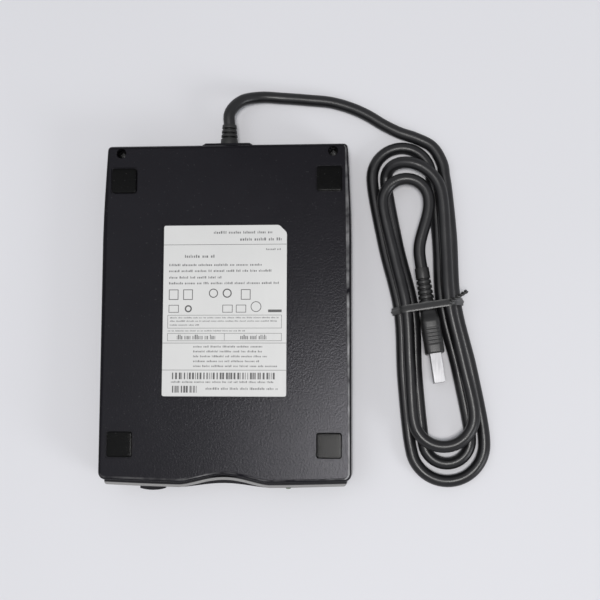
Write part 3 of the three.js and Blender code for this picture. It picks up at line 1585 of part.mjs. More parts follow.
const lowerHead = turned(
  [
    [0, lowerHeadTipZ],
    [headHalfSide / 2, lowerHeadTipZ],
    [headHalfSide * headStepShare, lowerHeadTipZ + headPadRise],
    [headHalfSide, lowerHeadTipZ + headPadRise],
    [headHalfSide, headArmLowZ - glueGap],
    [0, headArmLowZ - glueGap],
  ],
  collarSides,
);
add(mechanism, "lower_head", lowerHead, "ceramic", [0, headY, 0]);

// Upper arm: a sheet lever on a pivot between the carriage's ears, with the upper head at its end.
const arm = new THREE.Group();
arm.position.set(0, armPivotY, armPivotZ);
mechanism.add(arm);
const armLow = upperArmLowZ - armPivotZ;

function upperArm() {
  const rear = armEarHalfLength;
  const front = headY - armPivotY - headHalfSide;
  let made = block(both(upperArmHalfWidth), [front, rear], [armLow, armLow + upperArmSheet]);
  const cheek = [upperArmHalfWidth - upperArmSheet, upperArmHalfWidth];
  made = made.add(mirrored(cheek, both(rear), [armLow, armPivotRadius * 2]));
  const reach = armHingeHalfWidth - fitGap;
  return made.add(bar("x", armPivotRadius, both(reach), [0, 0, 0], pinSides));
}

add(arm, "upper_head_arm", upperArm(), "steel");

const headSeat = armLow + upperArmSheet + glueGap;
const upperHead = turned(
  [
    [0, headSeat],
    [headHalfSide, headSeat],
    [headHalfSide, upperHeadTipZ - armPivotZ - upperPadRise],
    [headHalfSide * headStepShare, upperHeadTipZ - armPivotZ - upperPadRise],
    [headHalfSide / 2, upperHeadTipZ - armPivotZ],
    [0, upperHeadTipZ - armPivotZ],
  ],
  collarSides,
);
add(arm, "upper_head", upperHead, "ceramic", [0, headY - armPivotY, 0]);

const armSpringMiddle = armSpringRadius - armSpringWire / 2;
const armSpring = coil(armSpringMiddle, armSpringWire, armSpringTurns, armSpringLength, "x");
add(mechanism, "head_arm_spring", armSpring, "steel", [-armSpringLength / 2, armPivotY, armPivotZ]);

// Guide rod, lead screw and stepper motor
const rodEnds = [axleTabY[0] + fitGap, axleTabY[1] + bearingTabThickness - fitGap];
add(
  mechanism,
  "guide_rod",
  bar("y", guideRadius, [0, rodEnds[1] - rodEnds[0]], [0, 0, 0], pinSides),
  "steel",
  [guideAxisX, rodEnds[0], screwAxisZ],
);

const screwLength = motorFrontY - fitGap - rodEnds[0];
const thread = twistedRod(
  leadScrewRadius,
  leadScrewLobe,
  screwLength,
  leadScrewPitch,
  leadScrewSides,
  leadScrewStepsPerTurn,
).rotate([-90, 0, 0]);
add(mechanism, "lead_screw", thread, "steel", [screwAxisX, rodEnds[0], screwAxisZ]);

function stepperMotor() {
  const can = bar("y", motorCanRadius, [0, motorCanLength], [0, 0, 0], turnedSides);
  const low = deckTopZ + fitGap - screwAxisZ;
  const flange = block(both(motorFlangeHalfWidth), [0, motorFlangeThickness], [low, motorCanRadius]);
  return can.add(flange);
}

add(mechanism, "stepper_motor", stepperMotor(), "steel", [screwAxisX, motorFrontY, screwAxisZ]);

// Interface board with its chips and the cord's socket, and the flat cable to the motor board
const electronics = new THREE.Group();
electronics.position.set(0, 0, boardLowZ);
mechanism.add(electronics);
const board = block([boardLeftX, boardRightX], [boardFrontY, boardRearY], [0, boardThickness]);
const postWay = bar("z", boardHoleRadius, both(caseThickness), [-deckPostX, deckPostRearY, 0], barSides);
add(electronics, "interface_board", board.subtract(postWay), "board");

function chip(length, width) {
  const foot = roundedRectangle(length, width, chipEdge).getPoints(1);
  return roundedSlab(foot, 0, chipThickness, chipEdge, false, 1);
}

const onBoardZ = boardThickness + glueGap;
add(electronics, "usb_chip", chip(chipSide, chipSide), "chip", [chipX, chipY, onBoardZ]);
const driverChip = chip(driverChipLength, driverChipWidth);
add(electronics, "driver_chip", driverChip, "chip", [driverChipX, driverChipY, onBoardZ]);

function socket() {
  const made = block(both(socketLength / 2), both(socketWidth / 2), [0, socketHeight]);
  const wall = socketWidth * socketWallShare;
  const mouth = block(
    [socketLength / 2 - wall, socketLength / 2 + overrun],
    both(socketWidth / 2 - wall),
    [wall / 2, socketHeight - wall / 2],
  );
  return made.subtract(mouth);
}

add(electronics, "cord_connector", socket(), "white", [socketX, socketY, onBoardZ]);

function ribbon() {
  const span = boardFrontY - motorBoardRearY;
  const steps = 8;
  const low = Array.from({ length: steps + 1 }, (_, i) => {
    const share = i / steps;
    return new THREE.Vector2(span * share, ribbonRise * Math.sin(share * Math.PI) ** 2);
  });
  low.unshift(new THREE.Vector2(-ribbonFoot, 0));
  low.push(new THREE.Vector2(span + ribbonFoot, 0));
  const high = low.map((point) => new THREE.Vector2(point.x, point.y + ribbonThickness)).reverse();
  return slab([...low, ...high], -ribbonWidth / 2, ribbonWidth / 2).rotate([90, 0, 90]);
}

add(electronics, "flat_cable", ribbon(), "film", [ribbonX, motorBoardRearY, onBoardZ]);

// Sensor switches: a block on the deck with two plungers that reach down to the disk
const switches = new THREE.Group();
switches.position.set(switchX, switchY, deckTopZ + fitGap);
mechanism.add(switches);

function switchBlock() {
  const half = (switchSpacing * switchCount) / 2;
  let made = block(both(half), both(switchBlockLength / 2), [0, switchBlockHeight]);
  for (const x of switchPlaces) {
    const wide = plungerFlangeRadius + fitGap;
    made = made.subtract(bar("z", wide, [-overrun, switchWellHeight], [x - switchX, 0, 0], pinSides));
  }
  return made;
}

add(switches, "switch_block", switchBlock(), "moulding");

for (const [i, x] of switchPlaces.entries()) {
  const tip = plungerTipZ - deckTopZ - fitGap;
  const plunger = turned(
    [
      [0, tip],
      [plungerRadius / 2, tip],
      [plungerRadius, tip + plungerRadius / 2],
      [plungerRadius, fitGap],
      [plungerFlangeRadius, fitGap],
      [plungerFlangeRadius, 2 * fitGap],
      [0, 2 * fitGap],
    ],
    pinSides,
  );
  add(switches, `switch_plunger_${i === 0 ? "left" : "right"}`, plunger, "white", [x - switchX, 0, 0]);
}

export default drive;
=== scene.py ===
# %% [markdown]
# # A slim external floppy disk drive
#
# The drive lies on its top cover, so its underside looks up at the camera: four square rubber feet, a satin
# label and two deep screw wells. Its thin black lead leaves at the back and lies beside it, wound into a hank
# that a wire tie holds, with the plug in the middle.
#
# Sizes of pieces are in millimetres, and MM turns them into metres where a mesh is made. Sizes in a finish
# are in metres. In the model's frame +X is right, +Y runs from the disk slot to the lead, and +Z is up.

import json
import math

import bmesh
import bpy
import numpy as np
from mathutils import Matrix, Vector

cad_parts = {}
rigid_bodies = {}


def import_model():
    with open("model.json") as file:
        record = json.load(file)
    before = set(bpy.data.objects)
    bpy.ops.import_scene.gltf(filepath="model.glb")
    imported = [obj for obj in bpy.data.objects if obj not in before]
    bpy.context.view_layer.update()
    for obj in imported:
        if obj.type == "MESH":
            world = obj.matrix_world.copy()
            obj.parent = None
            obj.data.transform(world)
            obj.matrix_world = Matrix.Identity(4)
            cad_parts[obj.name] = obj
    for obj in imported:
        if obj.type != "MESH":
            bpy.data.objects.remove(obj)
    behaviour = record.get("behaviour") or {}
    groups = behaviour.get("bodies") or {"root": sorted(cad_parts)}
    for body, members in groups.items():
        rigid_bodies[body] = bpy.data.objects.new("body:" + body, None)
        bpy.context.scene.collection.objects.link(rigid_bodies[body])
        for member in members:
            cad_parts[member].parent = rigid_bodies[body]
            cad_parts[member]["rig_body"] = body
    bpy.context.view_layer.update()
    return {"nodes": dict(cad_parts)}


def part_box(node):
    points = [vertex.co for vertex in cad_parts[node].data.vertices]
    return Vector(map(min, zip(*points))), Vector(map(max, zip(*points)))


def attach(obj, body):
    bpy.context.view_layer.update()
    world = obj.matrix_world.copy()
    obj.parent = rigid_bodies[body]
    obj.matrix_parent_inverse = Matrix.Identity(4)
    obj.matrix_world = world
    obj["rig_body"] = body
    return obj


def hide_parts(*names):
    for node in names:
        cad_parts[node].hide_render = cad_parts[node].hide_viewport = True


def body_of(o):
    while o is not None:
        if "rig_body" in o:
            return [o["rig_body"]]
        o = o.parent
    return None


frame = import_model()
scene = bpy.context.scene
MM = 0.001

# %% [markdown]
# ## Camera
#
# The photograph was taken from above with a short telephoto, a little to the right of the case and a little
# towards its front. The camera's place and turn were found by matching the case's edges, feet and label.

# %% Camera
PICTURE_SIZE = 600
FOCAL_PIXELS = 1100
SENSOR = 36
NEAREST = 0.01
CAMERA_PLACE = (0.0660, -0.0366, 0.4647)
CAMERA_TURN = Vector((math.radians(5.39), math.radians(4.46), math.radians(0.02)))

camera_data = bpy.data.cameras.new("camera")
camera_data.sensor_width = SENSOR
camera_data.lens = FOCAL_PIXELS / PICTURE_SIZE * SENSOR
camera_data.clip_start = NEAREST
camera = bpy.data.objects.new("camera", camera_data)
turned = Matrix.Rotation(CAMERA_TURN.length, 4, CAMERA_TURN.normalized())
camera.matrix_world = Matrix.Translation(CAMERA_PLACE) @ turned
scene.collection.objects.link(camera)
scene.camera = camera
scene.view_settings.view_transform = "Standard"
print("lens:", round(camera_data.lens), "mm")

# %% [markdown]
# ## Meshes from numbers
#
# Each new piece is a surface that numpy works out as one whole array. A grid of points, one row for each step
# along the piece and one column for each step round it, becomes quads. The helpers below turn such a grid, or
# any points and faces, into a mesh that rides on the case.


# %% Mesh helpers
def finish_piece(name, mesh, body, material, smooth):
    """Shades the mesh, smooth where two faces meet at under smooth degrees, and puts it on its body."""
    mesh.update()
    mesh.shade_smooth()
    mesh.set_sharp_from_angle(angle=math.radians(smooth))
    mesh.materials.append(material)
    piece = bpy.data.objects.new(name, mesh)
    scene.collection.objects.link(piece)
    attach(piece, body)
    return piece


def make_piece(name, points, faces, material, smooth):
    """A mesh on the case, from an array of points in metres and faces."""
    mesh = bpy.data.meshes.new(name)
    points = np.asarray(points, float).reshape(-1, 3).tolist()
    mesh.from_pydata(points, [], [tuple(map(int, face)) for face in faces])
    return finish_piece(name, mesh, "case", material, smooth)


def stand_in(piece, slot, *nodes):
    """Hides the nodes that the piece replaces, if any, and prints its count of faces; slot is not used."""
    if nodes:
        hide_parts(*nodes)
    print(piece.name, len(piece.data.polygons), "faces")


def grid_faces(rows, columns):
    """Quads between the rows of a grid of points, whose last column joins the first."""
    row = np.arange(rows - 1)[:, None] * columns
    column = np.arange(columns)[None, :]
    following = (column + 1) % columns
    corners = [row + column, row + following, row + columns + following, row + columns + column]
    return np.stack(corners, -1).reshape(-1, 4)


def capped(rows, columns):
    """The quads of a closed tube together with the two polygons that close its ends."""
    last = (rows - 1) * columns
    ends = [list(range(columns))[::-1], list(range(last, last + columns))]
    return grid_faces(rows, columns).tolist() + ends


def looped(rows, columns):
    """The quads of a tube that runs back into itself: its last row joins the first."""
    return grid_faces(rows + 1, columns) % (rows * columns)


def repeated(faces, count, size):
    """The faces of count equal forms, one after another, each of size points."""
    return [[copy * size + corner for corner in face] for copy in range(count) for face in faces]


def loft(name, grid, material, smooth):
    """A closed form from a grid of points in metres: rows along it, columns round it."""
    return make_piece(name, grid, capped(*grid.shape[:2]), material, smooth)


def circle(sides, phase=0.0):
    """Cosines and sines of even angles round a circle."""
    angle = np.linspace(0, 2 * np.pi, sides, endpoint=False) + phase
    return np.cos(angle), np.sin(angle)


def unit(vectors):
    """Rows of vectors, each with its length made 1."""
    return vectors / np.linalg.norm(vectors, axis=1)[:, None]


# %% [markdown]
# ## Route of the cord
#
# The cord drops from the case to the table and runs to a hank: three turns round two bends, in two layers,
# drawn in at the waist. The formula and the listed points are those of the model's source, so that the
# visible cord lies where the solid one does. A Catmull-Rom curve makes the points one flowing line.

# %% Sizes of the cord and the hank
CORD_DIAMETER = 5.0
EXIT_Z = 9.15
RELIEF_TIP_Y = 81.2
FIT_GAP = 0.3
CUP_REACH = 0.4
TIE_GAP, TIE_THICK = 0.35, 0.9
HANK_X, HANK_Y, HANK_TURN = 82.0, 3.6, math.radians(8.4)
HANK_HALF_WIDTH, HANK_HALF_LENGTH = 16.6, 74.3
HANK_SIDE_PITCH, HANK_END_PITCH = 5.6, 7.2
HANK_DRAW_IN, HANK_WAIST = 3.5, 44.0
HANK_START, HANK_END = -1.7, 70.0
STEPS_PER_TURN, RUN_STEPS = 24, 4
BEND_STEPS = (STEPS_PER_TURN - 2 * RUN_STEPS) / 2
LAYER_TURNS, LAYER_STEP = 1.5, CORD_DIAMETER + 0.55
CLIMB_START = 1 + (1.5 * RUN_STEPS + BEND_STEPS) / STEPS_PER_TURN
CLIMB_LENGTH, CLIMB_SHARE = BEND_STEPS / STEPS_PER_TURN, 0.66
WAIST_LIFT = TIE_THICK + TIE_GAP
PLUG_X, PLUG_GRIP_Y, PLUG_HEIGHT, BOOT_LENGTH = 1.3, -1.9, 16.0, 18.0
LAST_BEND_STEPS = 7
LEAD_ROUTE = [
    (4.6, 92.3, 6.9), (12.5, 94.6, 4.1), (22, 94.4, 2.6), (33, 93.4, 2.5), (43, 92.2, 2.5), (51.5, 89.6, 2.5),
    (58.7, 86.2, 2.5), (65.2, 82.1, 2.5), (72, 78.6, 2.5), (79.2, 76, 2.5), (86, 72.2, 2.5),
]


# %% Centreline of the hank
def ease(share):
    """0 to 1 with level ends: 3s^2 - 2s^3, with s held between 0 and 1."""
    share = np.clip(share, 0, 1)
    return share * share * (3 - 2 * share)


def hank_points(step):
    """Places on the strand in the hank's own frame, for an array of steps, 24 to a turn.

    A turn is half a run down, a half circle, a whole run up, a half circle, and half a run down.
    """
    turn = step / STEPS_PER_TURN
    phase = np.mod(step, STEPS_PER_TURN)
    climbed = ease((turn - CLIMB_START) / CLIMB_LENGTH)
    raised = ease((turn - CLIMB_START) / (CLIMB_LENGTH * CLIMB_SHARE))
    radius = HANK_HALF_WIDTH - HANK_SIDE_PITCH * (turn - LAYER_TURNS * climbed)
    straight = HANK_HALF_LENGTH - HANK_END_PITCH * turn - radius
    half_run = RUN_STEPS / 2
    far, back = half_run + BEND_STEPS, half_run + BEND_STEPS + RUN_STEPS
    near = back + BEND_STEPS
    first_bend = np.pi * (phase - half_run) / BEND_STEPS
    second_bend = np.pi * (phase - back) / BEND_STEPS
    where = [phase < half_run, phase < far, phase < back, phase < near]
    x_parts = [radius, radius * np.cos(first_bend), -radius, -radius * np.cos(second_bend)]
    y_parts = [
        -straight * phase / half_run,
        -straight - radius * np.sin(first_bend),
        -straight + 2 * straight * (phase - far) / RUN_STEPS,
        straight + radius * np.sin(second_bend),
    ]
    x = np.select(where, x_parts, radius)
    y = np.select(where, y_parts, straight * (STEPS_PER_TURN - phase) / half_run)
    waist = np.cos(np.pi / 2 * np.minimum(1, np.abs(y) / HANK_WAIST)) ** 2
    x = x - np.sign(x) * HANK_DRAW_IN * waist * np.minimum(1, np.abs(x) / HANK_DRAW_IN / 2)
    z = CORD_DIAMETER / 2 + LAYER_STEP * raised + WAIST_LIFT * waist**2
    return np.stack([x, y, z], -1)


def hank_line():
    """The whole strand in the hank's frame: a straight start, the turns, and a soft S into the boot."""
    steps = np.concatenate([[HANK_START], np.arange(math.ceil(HANK_START), HANK_END + 1)])
    turns = hank_points(steps)
    start = turns[0] + (0, CORD_DIAMETER, 0)
    boot = np.array((PLUG_X, PLUG_GRIP_Y + BOOT_LENGTH + FIT_GAP + CORD_DIAMETER, PLUG_HEIGHT / 2))
    share = np.arange(1, LAST_BEND_STEPS + 1)[:, None] / LAST_BEND_STEPS
    bend = turns[-1] + (boot - turns[-1]) * np.hstack([ease(share), share, ease(share)])
    return np.vstack([start, turns, bend, boot - (0, CORD_DIAMETER + FIT_GAP + CUP_REACH, 0)])


def to_world(points):
    """Turns and moves points of the hank's frame to the model's frame."""
    cos, sin = math.cos(HANK_TURN), math.sin(HANK_TURN)
    x, y, z = np.moveaxis(np.asarray(points, float), -1, 0)
    return np.stack([HANK_X + cos * x - sin * y, HANK_Y + sin * x + cos * y, z], -1)


hank_world = to_world(hank_line())
hank_up = np.array((-math.sin(HANK_TURN), math.cos(HANK_TURN), 0))
lead_end = hank_world[0] + hank_up * FIT_GAP
cord_knots = np.vstack(
    [
        (0, RELIEF_TIP_Y - CUP_REACH, EXIT_Z),
        (0, RELIEF_TIP_Y + FIT_GAP + CORD_DIAMETER, EXIT_Z),
        LEAD_ROUTE,
        lead_end + hank_up * CORD_DIAMETER,
        hank_world,
    ]
)

# %% One flowing line
PARTS_PER_KNOT = 12


def lengths_along(line):
    """The length from a line's start to each of its points."""
    return np.concatenate([[0], np.cumsum(np.linalg.norm(np.diff(line, axis=0), axis=1))])


def points_at(line, lengths):
    """The points of a line at given lengths along it."""
    return np.stack([np.interp(lengths, lengths_along(line), part) for part in line.T], -1)


def flowing(knots, spacing):
    """A centripetal Catmull-Rom curve through the knots, cut into points a given length apart."""
    ends = np.vstack([2 * knots[0] - knots[1], knots, 2 * knots[-1] - knots[-2]])
    p0, p1, p2, p3 = ends[:-3], ends[1:-2], ends[2:-1], ends[3:]
    d1, d2, d3 = (np.sqrt(np.linalg.norm(b - a, axis=1))[:, None] for a, b in ((p0, p1), (p1, p2), (p2, p3)))
    m1 = (p2 - p1) + d2 * ((p1 - p0) / d1 - (p2 - p0) / (d1 + d2))
    m2 = (p2 - p1) + d2 * ((p3 - p2) / d3 - (p3 - p1) / (d2 + d3))
    t = (np.arange(PARTS_PER_KNOT) / PARTS_PER_KNOT)[:, None, None]
    hermite = [2 * t**3 - 3 * t**2 + 1, t**3 - 2 * t**2 + t, -2 * t**3 + 3 * t**2, t**3 - t**2]
    fine = sum(h * p for h, p in zip(hermite, (p1, m1, p2, m2)))
    fine = np.vstack([fine.transpose(1, 0, 2).reshape(-1, 3), knots[-1]])
    length = lengths_along(fine)[-1]
    return points_at(fine, np.linspace(0, length, round(length / spacing) + 1)), length


cord_line, cord_length = flowing(cord_knots, spacing=1.6)
cord_line[:, 2] = np.maximum(cord_line[:, 2], CORD_DIAMETER / 2)
print("cord:", len(cord_line), "points,", round(cord_length), "mm")

# %% [markdown]
# ## Shader maths
#
# A finish is a small graph of nodes. A wrapper lets the usual signs stand for Math nodes, which reads more
# easily: `grain * 0.3 + 0.5` adds two of them. Only what changes over a surface goes through nodes; a value
# that is the same everywhere is set on the shader's own socket.


# %% The wrapper for one value
class Wire:
    """One output of a node; +, -, * and ** on it add Math nodes."""

    def __init__(self, finish, socket):
        self.finish = finish
        self.socket = socket

    def math(self, operation, first, second=0.0):
        return self.finish.node("ShaderNodeMath", {0: first, 1: second}, operation=operation)[0]

    def __add__(self, other):
        return self.math("ADD", self, other)

    __radd__ = __add__

    def __mul__(self, other):
        return self.math("MULTIPLY", self, other)

    def __sub__(self, other):
        return self.math("SUBTRACT", self, other)

    def __rsub__(self, other):
        return self.math("SUBTRACT", other, self)

    def __pow__(self, other):
        return self.math("POWER", self, other)

    def above(self, edge, width):
        """0 below the edge and 1 above edge + width, with a straight rise between."""
        return self.finish.node("ShaderNodeMapRange", {0: self, 1: edge, 2: edge + width})[0]


# %% The maker of one finish
UV_OUTPUT, OBJECT_OUTPUT, NORMAL_OUTPUT, CAMERA_OUTPUT = 2, 3, 1, 0


class Finish:
    """A material with one Principled shader, and one method that adds any other node."""

    def __init__(self, name, **constants):
        self.material = bpy.data.materials.new(name)
        self.material.use_nodes = True
        self.tree = self.material.node_tree
        self.shader = self.tree.nodes["Principled BSDF"]
        for socket, value in constants.items():
            self.shader.inputs[socket.replace("_", " ")].default_value = value

    def node(self, kind, values, **settings):
        """Adds a node, sets its settings, fills its sockets with values or wires; returns its outputs."""
        node = self.tree.nodes.new(kind)
        for setting, value in settings.items():
            setattr(node, setting, value)
        for socket, value in values.items():
            if isinstance(value, Wire):
                self.tree.links.new(value.socket, node.inputs[socket])
            else:
                node.inputs[socket].default_value = value
        return [Wire(self, output) for output in node.outputs]

    def place(self):
        """The point on the object, in metres."""
        return self.node("ShaderNodeTexCoord", {})[OBJECT_OUTPUT]

    def split(self, vector):
        """The three parts of a point or direction."""
        return self.node("ShaderNodeSeparateXYZ", {0: vector})

    def stretched(self, scale):
        """The point on the object with each direction scaled by its own number."""
        return self.node("ShaderNodeVectorMath", {0: self.place(), 1: scale}, operation="MULTIPLY")[0]

    def noise(self, scale, detail=2.0, vector=None):
        values = {"Vector": vector or self.place(), "Scale": scale, "Detail": detail}
        return self.node("ShaderNodeTexNoise", values)[0]

    def mix(self, factor, first, second):
        """A colour between two colours."""
        return self.node("ShaderNodeMix", {0: factor, 6: first, 7: second}, data_type="RGBA")[2]

    def bump(self, height, strength, distance):
        values = {"Height": height, "Strength": strength, "Distance": distance}
        return self.node("ShaderNodeBump", values)[0]

    def feed(self, **wires):
        """Links wires to the shader's sockets and returns the finished material."""
        for socket, wire in wires.items():
            self.tree.links.new(wire.socket, self.shader.inputs[socket.replace("_", " ")])
        return self.material


def grey(value, tint=(1.0, 1.0, 1.0)):
    return (value * tint[0], value * tint[1], value * tint[2], 1.0)


def shade(colour, times, plus=0.0):
    """A paler or darker colour: each part times one number plus another, at most 1."""
    return tuple(min(1.0, part * times + plus) for part in colour[:3]) + (1.0,)


# %% [markdown]
# ## Finishes
#
# Moulded plastic is never one flat colour. Its skin is spark-eroded: a fine grain that scatters the light of
# the lamps into a broad soft sheen. On top lie faint smears from handling and a few pale specks of dust. The
# same maker, with other numbers, gives the case, the trim, the rubber and the small mouldings.


# %% Plastic and rubber
PEBBLE_SIZE = 0.0008
DUST = grey(0.35)


def moulded(
    name, colour, roughness, grain_size=0.0003, grain=0.25, smear=0.08, dust=0.0, specular=0.4, pebble=0.0,
    tint=grey(1.0), rubbed=None
):
    """A moulded skin: colour with a slow drift, fine grain as bump, smears in the roughness, specks of dust.

    pebble is the height of a coarser grain and tint the colour of the sheen. rubbed is a function that makes
    from the finish a mask of highlights painted paler, with their colour.
    """
    finish = Finish(name, Specular_IOR_Level=specular, Specular_Tint=tint)
    drift = finish.noise(28.0, 3.0)
    smears = finish.noise(60.0, 4.0, finish.stretched((1.0, 0.35, 1.0)))
    skin = finish.noise(1 / grain_size, 2.0)
    if pebble:
        skin = skin + finish.noise(1 / PEBBLE_SIZE, 1.0) * pebble
    base = finish.mix(drift.above(0.35, 0.4), colour, shade(colour, 1.35, 0.0015))
    # Painted highlight: a paler colour mixed in over the mask.
    if rubbed:
        mask, highlight_colour = rubbed(finish)
        base = finish.mix(mask, base, highlight_colour)
    rough = roughness + (smears - 0.5) * (2 * smear)
    if dust:
        specks = finish.noise(1400.0, 0.0).above(0.80, 0.03) * dust
        base = finish.mix(specks, base, DUST)
        rough = rough + specks * 0.2
    return finish.feed(Base_Color=base, Roughness=rough, Normal=finish.bump(skin, grain, grain_size * 0.3))


# %% Case and bezel, with highlights painted paler on their rims
# RIM_HIGHLIGHT is the pale colour painted on the case's rims as a highlight.
RIM_Z, RIM_SLOPE, RIM_STEEP, RIM_HIGHLIGHT = 0.01715, 0.995, 0.85, grey(0.28, (1.0, 0.99, 1.0))
FRONT_SHARE = 0.3
# LIP_HIGHLIGHT is the pale colour painted on the bezel's lip as a highlight.
LIP_Z, LIP_BAND, LIP_HIGHLIGHT = 0.0138, 0.0010, grey(0.26, (1.02, 1.0, 0.99))
FRONT_Y, FRONT_BOW, FRONT_HALF = -0.071, 0.0012, 0.052
NOTCH_HALF, NOTCH_DEPTH, NOTCH_POWER = 0.0187, 0.0033, 1.5
CASE_BLACK, BEZEL_BLACK = grey(0.0036, (1.05, 0.92, 1.35)), grey(0.0025, (1.0, 0.95, 1.2))
CASE_SHEEN = (0.93, 0.93, 1.0, 1.0)


def rim_highlight(finish):
    """A painted highlight on the rims near the top plane, where the normal's z is between RIM_STEEP and
    RIM_SLOPE.

    The right rim shows most, the front one FRONT_SHARE of that, more towards the front right where the lamps
    stand, and noise breaks the line up.
    """
    x, y, z = finish.split(finish.place())
    right, rear, level = finish.split(finish.node("ShaderNodeNewGeometry", {})[NORMAL_OUTPUT])
    # Painted highlight: the rims that face the lamps are coloured paler.
    rim = (RIM_SLOPE - level).above(0.0, 0.01) * level.above(RIM_STEEP, 0.02) * z.above(RIM_Z, 0.0001)
    facing = right.above(0.05, 0.1) + (0 - rear).above(0.05, 0.1) * FRONT_SHARE
    towards_lamps = (x - y).above(-0.06, 0.12) * finish.noise(160.0, 3.0).above(0.3, 0.3) * facing
    return rim * towards_lamps, RIM_HIGHLIGHT


def lip_highlight(finish):
    """A painted highlight on the lip's outer millimetre, where y - front(x) < LIP_BAND.

    front(x) = FRONT_Y + FRONT_BOW (x / FRONT_HALF)^2
    + NOTCH_DEPTH cos(pi/2 min(1, |x| / NOTCH_HALF))^NOTCH_POWER.
    """
    x, y, z = finish.split(finish.place())
    share = x.math("MINIMUM", x.math("ABSOLUTE", x) * (1 / NOTCH_HALF), 1.0)
    dip = x.math("COSINE", share * (math.pi / 2)) ** NOTCH_POWER * NOTCH_DEPTH
    behind = y - FRONT_Y - x * x * (FRONT_BOW / FRONT_HALF**2) - dip
    # Painted highlight: the lip's outer band is coloured paler.
    return z.above(LIP_Z, 0.0001) * (1 - behind.above(LIP_BAND, 0.00015)), LIP_HIGHLIGHT


case_finish = moulded(
    "case plastic", CASE_BLACK, 0.22, grain_size=0.00035, grain=0.3, smear=0.03, dust=0.05, specular=0.115,
    pebble=1.15, tint=CASE_SHEEN, rubbed=rim_highlight
)
bezel_finish = moulded(
    "bezel plastic", BEZEL_BLACK, 0.48, grain=0.2, smear=0.03, specular=0.12,
    tint=CASE_SHEEN, rubbed=lip_highlight
)

# %% The other mouldings
trim_finish = moulded("soft black plastic", grey(0.008), 0.42, grain_size=0.0005, grain=0.2)
rubber_finish = moulded(
    "foot rubber", grey(0.0008), 0.20, grain_size=0.0004, grain=0.35, smear=0.04, dust=0.06, specular=0.06
)
moulding_finish = moulded("grey moulding", grey(0.035), 0.5)
white_finish = moulded("white moulding", grey(0.76, (1.0, 0.99, 0.95)), 0.45)
chip_finish = moulded("chip package", grey(0.012), 0.5, grain_size=0.0002)
ceramic_finish = moulded("polished ceramic", grey(0.07, (1.05, 1.0, 0.95)), 0.18, grain=0.05)
print("finishes so far:", len(bpy.data.materials))

# %% [markdown]
# The lead's sheath is soft vinyl: smooth, a little glossier than the case, with a faint waviness from the
# twisted cores under it. The waviness runs along the cord, so it reads the piece's own UV map.


# %% Sheath of the cord
def sheath(name, colour, roughness):
    """Vinyl over twisted cores: slow bands that wind round the cord, and a fine skin."""
    finish = Finish(name, Specular_IOR_Level=0.35)
    along, across, _ = finish.split(finish.node("ShaderNodeTexCoord", {})[UV_OUTPUT])
    winding = along.math("SINE", along * 520.0 + across * (2 * math.pi))
    skin = finish.noise(900.0, 3.0)
    soft = finish.noise(140.0, 2.0)
    base = finish.mix(soft.above(0.35, 0.4), colour, shade(colour, 1.5))
    bump = finish.bump(winding * 0.35 + skin, 0.35, 0.00008)
    return finish.feed(Base_Color=base, Roughness=roughness + (soft - 0.5) * 0.16, Normal=bump)


cord_finish = sheath("cord sheath", grey(0.006, (1.0, 1.0, 1.1)), 0.34)

# %% [markdown]
# Metal parts inside are plated sheet and turned pins. Rolling and brushing leave fine lines in one direction,
# so the noise is stretched along Y, and the roughness follows it.


# %% Metals
def metal(name, colour, roughness, lines=0.35):
    """Plated metal with fine rolling lines along Y in its roughness and bump."""
    finish = Finish(name, Metallic=1.0)
    rolled = finish.noise(1.0, 3.0, finish.stretched((2600.0, 160.0, 2600.0)))
    cloud = finish.noise(70.0, 3.0)
    base = finish.mix(cloud.above(0.35, 0.35), colour, shade(colour, 0.82))
    rough = roughness + (rolled - 0.5) * lines + (cloud - 0.5) * 0.12
    return finish.feed(Base_Color=base, Roughness=rough, Normal=finish.bump(rolled, 0.15, 0.00004))


steel_finish = metal("plated steel", grey(0.52, (1.0, 1.0, 1.02)), 0.36)
shell_finish = metal("bright plug shell", grey(0.30, (1.0, 1.0, 1.03)), 0.52, lines=0.15)
dark_steel_finish = metal("dark plated steel", grey(0.16), 0.36)
black_screw_finish = metal("blackened screw", grey(0.035), 0.42)
brass_finish = metal("brass", (0.55, 0.42, 0.18, 1.0), 0.32)
copper_finish = metal("lacquered copper", (0.45, 0.17, 0.08, 1.0), 0.38)
gold_finish = metal("gilt contact", (0.75, 0.55, 0.22, 1.0), 0.25, lines=0.1)

# %% Circuit board: solder mask over a pattern of tracks
TRACK_BRICKS = {"Scale": 1.0, "Mortar Size": 0.0002, "Brick Width": 0.007, "Row Height": 0.0009}
MASK_GREEN, TRACK_GREEN = (0.010, 0.085, 0.035, 1.0), (0.02, 0.15, 0.06, 1.0)
TIN = grey(0.45, (1.0, 0.98, 0.94))


def board_mask(name):
    """Green mask, paler over copper, with small tinned dots.

    Bands of tracks run along X in some regions and along Y in the others, as a slow noise picks them.
    """
    finish = Finish(name, Coat_Weight=0.3)
    x, y, _ = finish.split(finish.place())
    bands = []
    for across, along in ((x, y), (y, x)):
        plane = finish.node("ShaderNodeCombineXYZ", {0: across, 1: along})[0]
        bricks = {"Vector": plane, **TRACK_BRICKS}
        bands.append(finish.node("ShaderNodeTexBrick", bricks, offset=0.37)[1])
    region = finish.noise(70.0, 1.0).above(0.5, 0.005)
    tracks = bands[0] * region + bands[1] * (1 - region)
    flat = finish.stretched((1.0, 1.0, 0.0))
    dots = 1 - finish.node("ShaderNodeTexVoronoi", {"Vector": flat, "Scale": 230.0})[0].above(0.11, 0.02)
    base = finish.mix(tracks * 0.6, MASK_GREEN, TRACK_GREEN)
    base = finish.mix(dots, base, TIN)
    rough = 0.3 + finish.noise(90.0, 2.0) * 0.15
    return finish.feed(Base_Color=base, Roughness=rough, Normal=finish.bump(tracks + dots, 0.3, 0.00003))


board_finish = board_mask("solder mask")
film_finish = moulded("amber film", (0.36, 0.20, 0.05, 1.0), 0.3, grain=0.05)

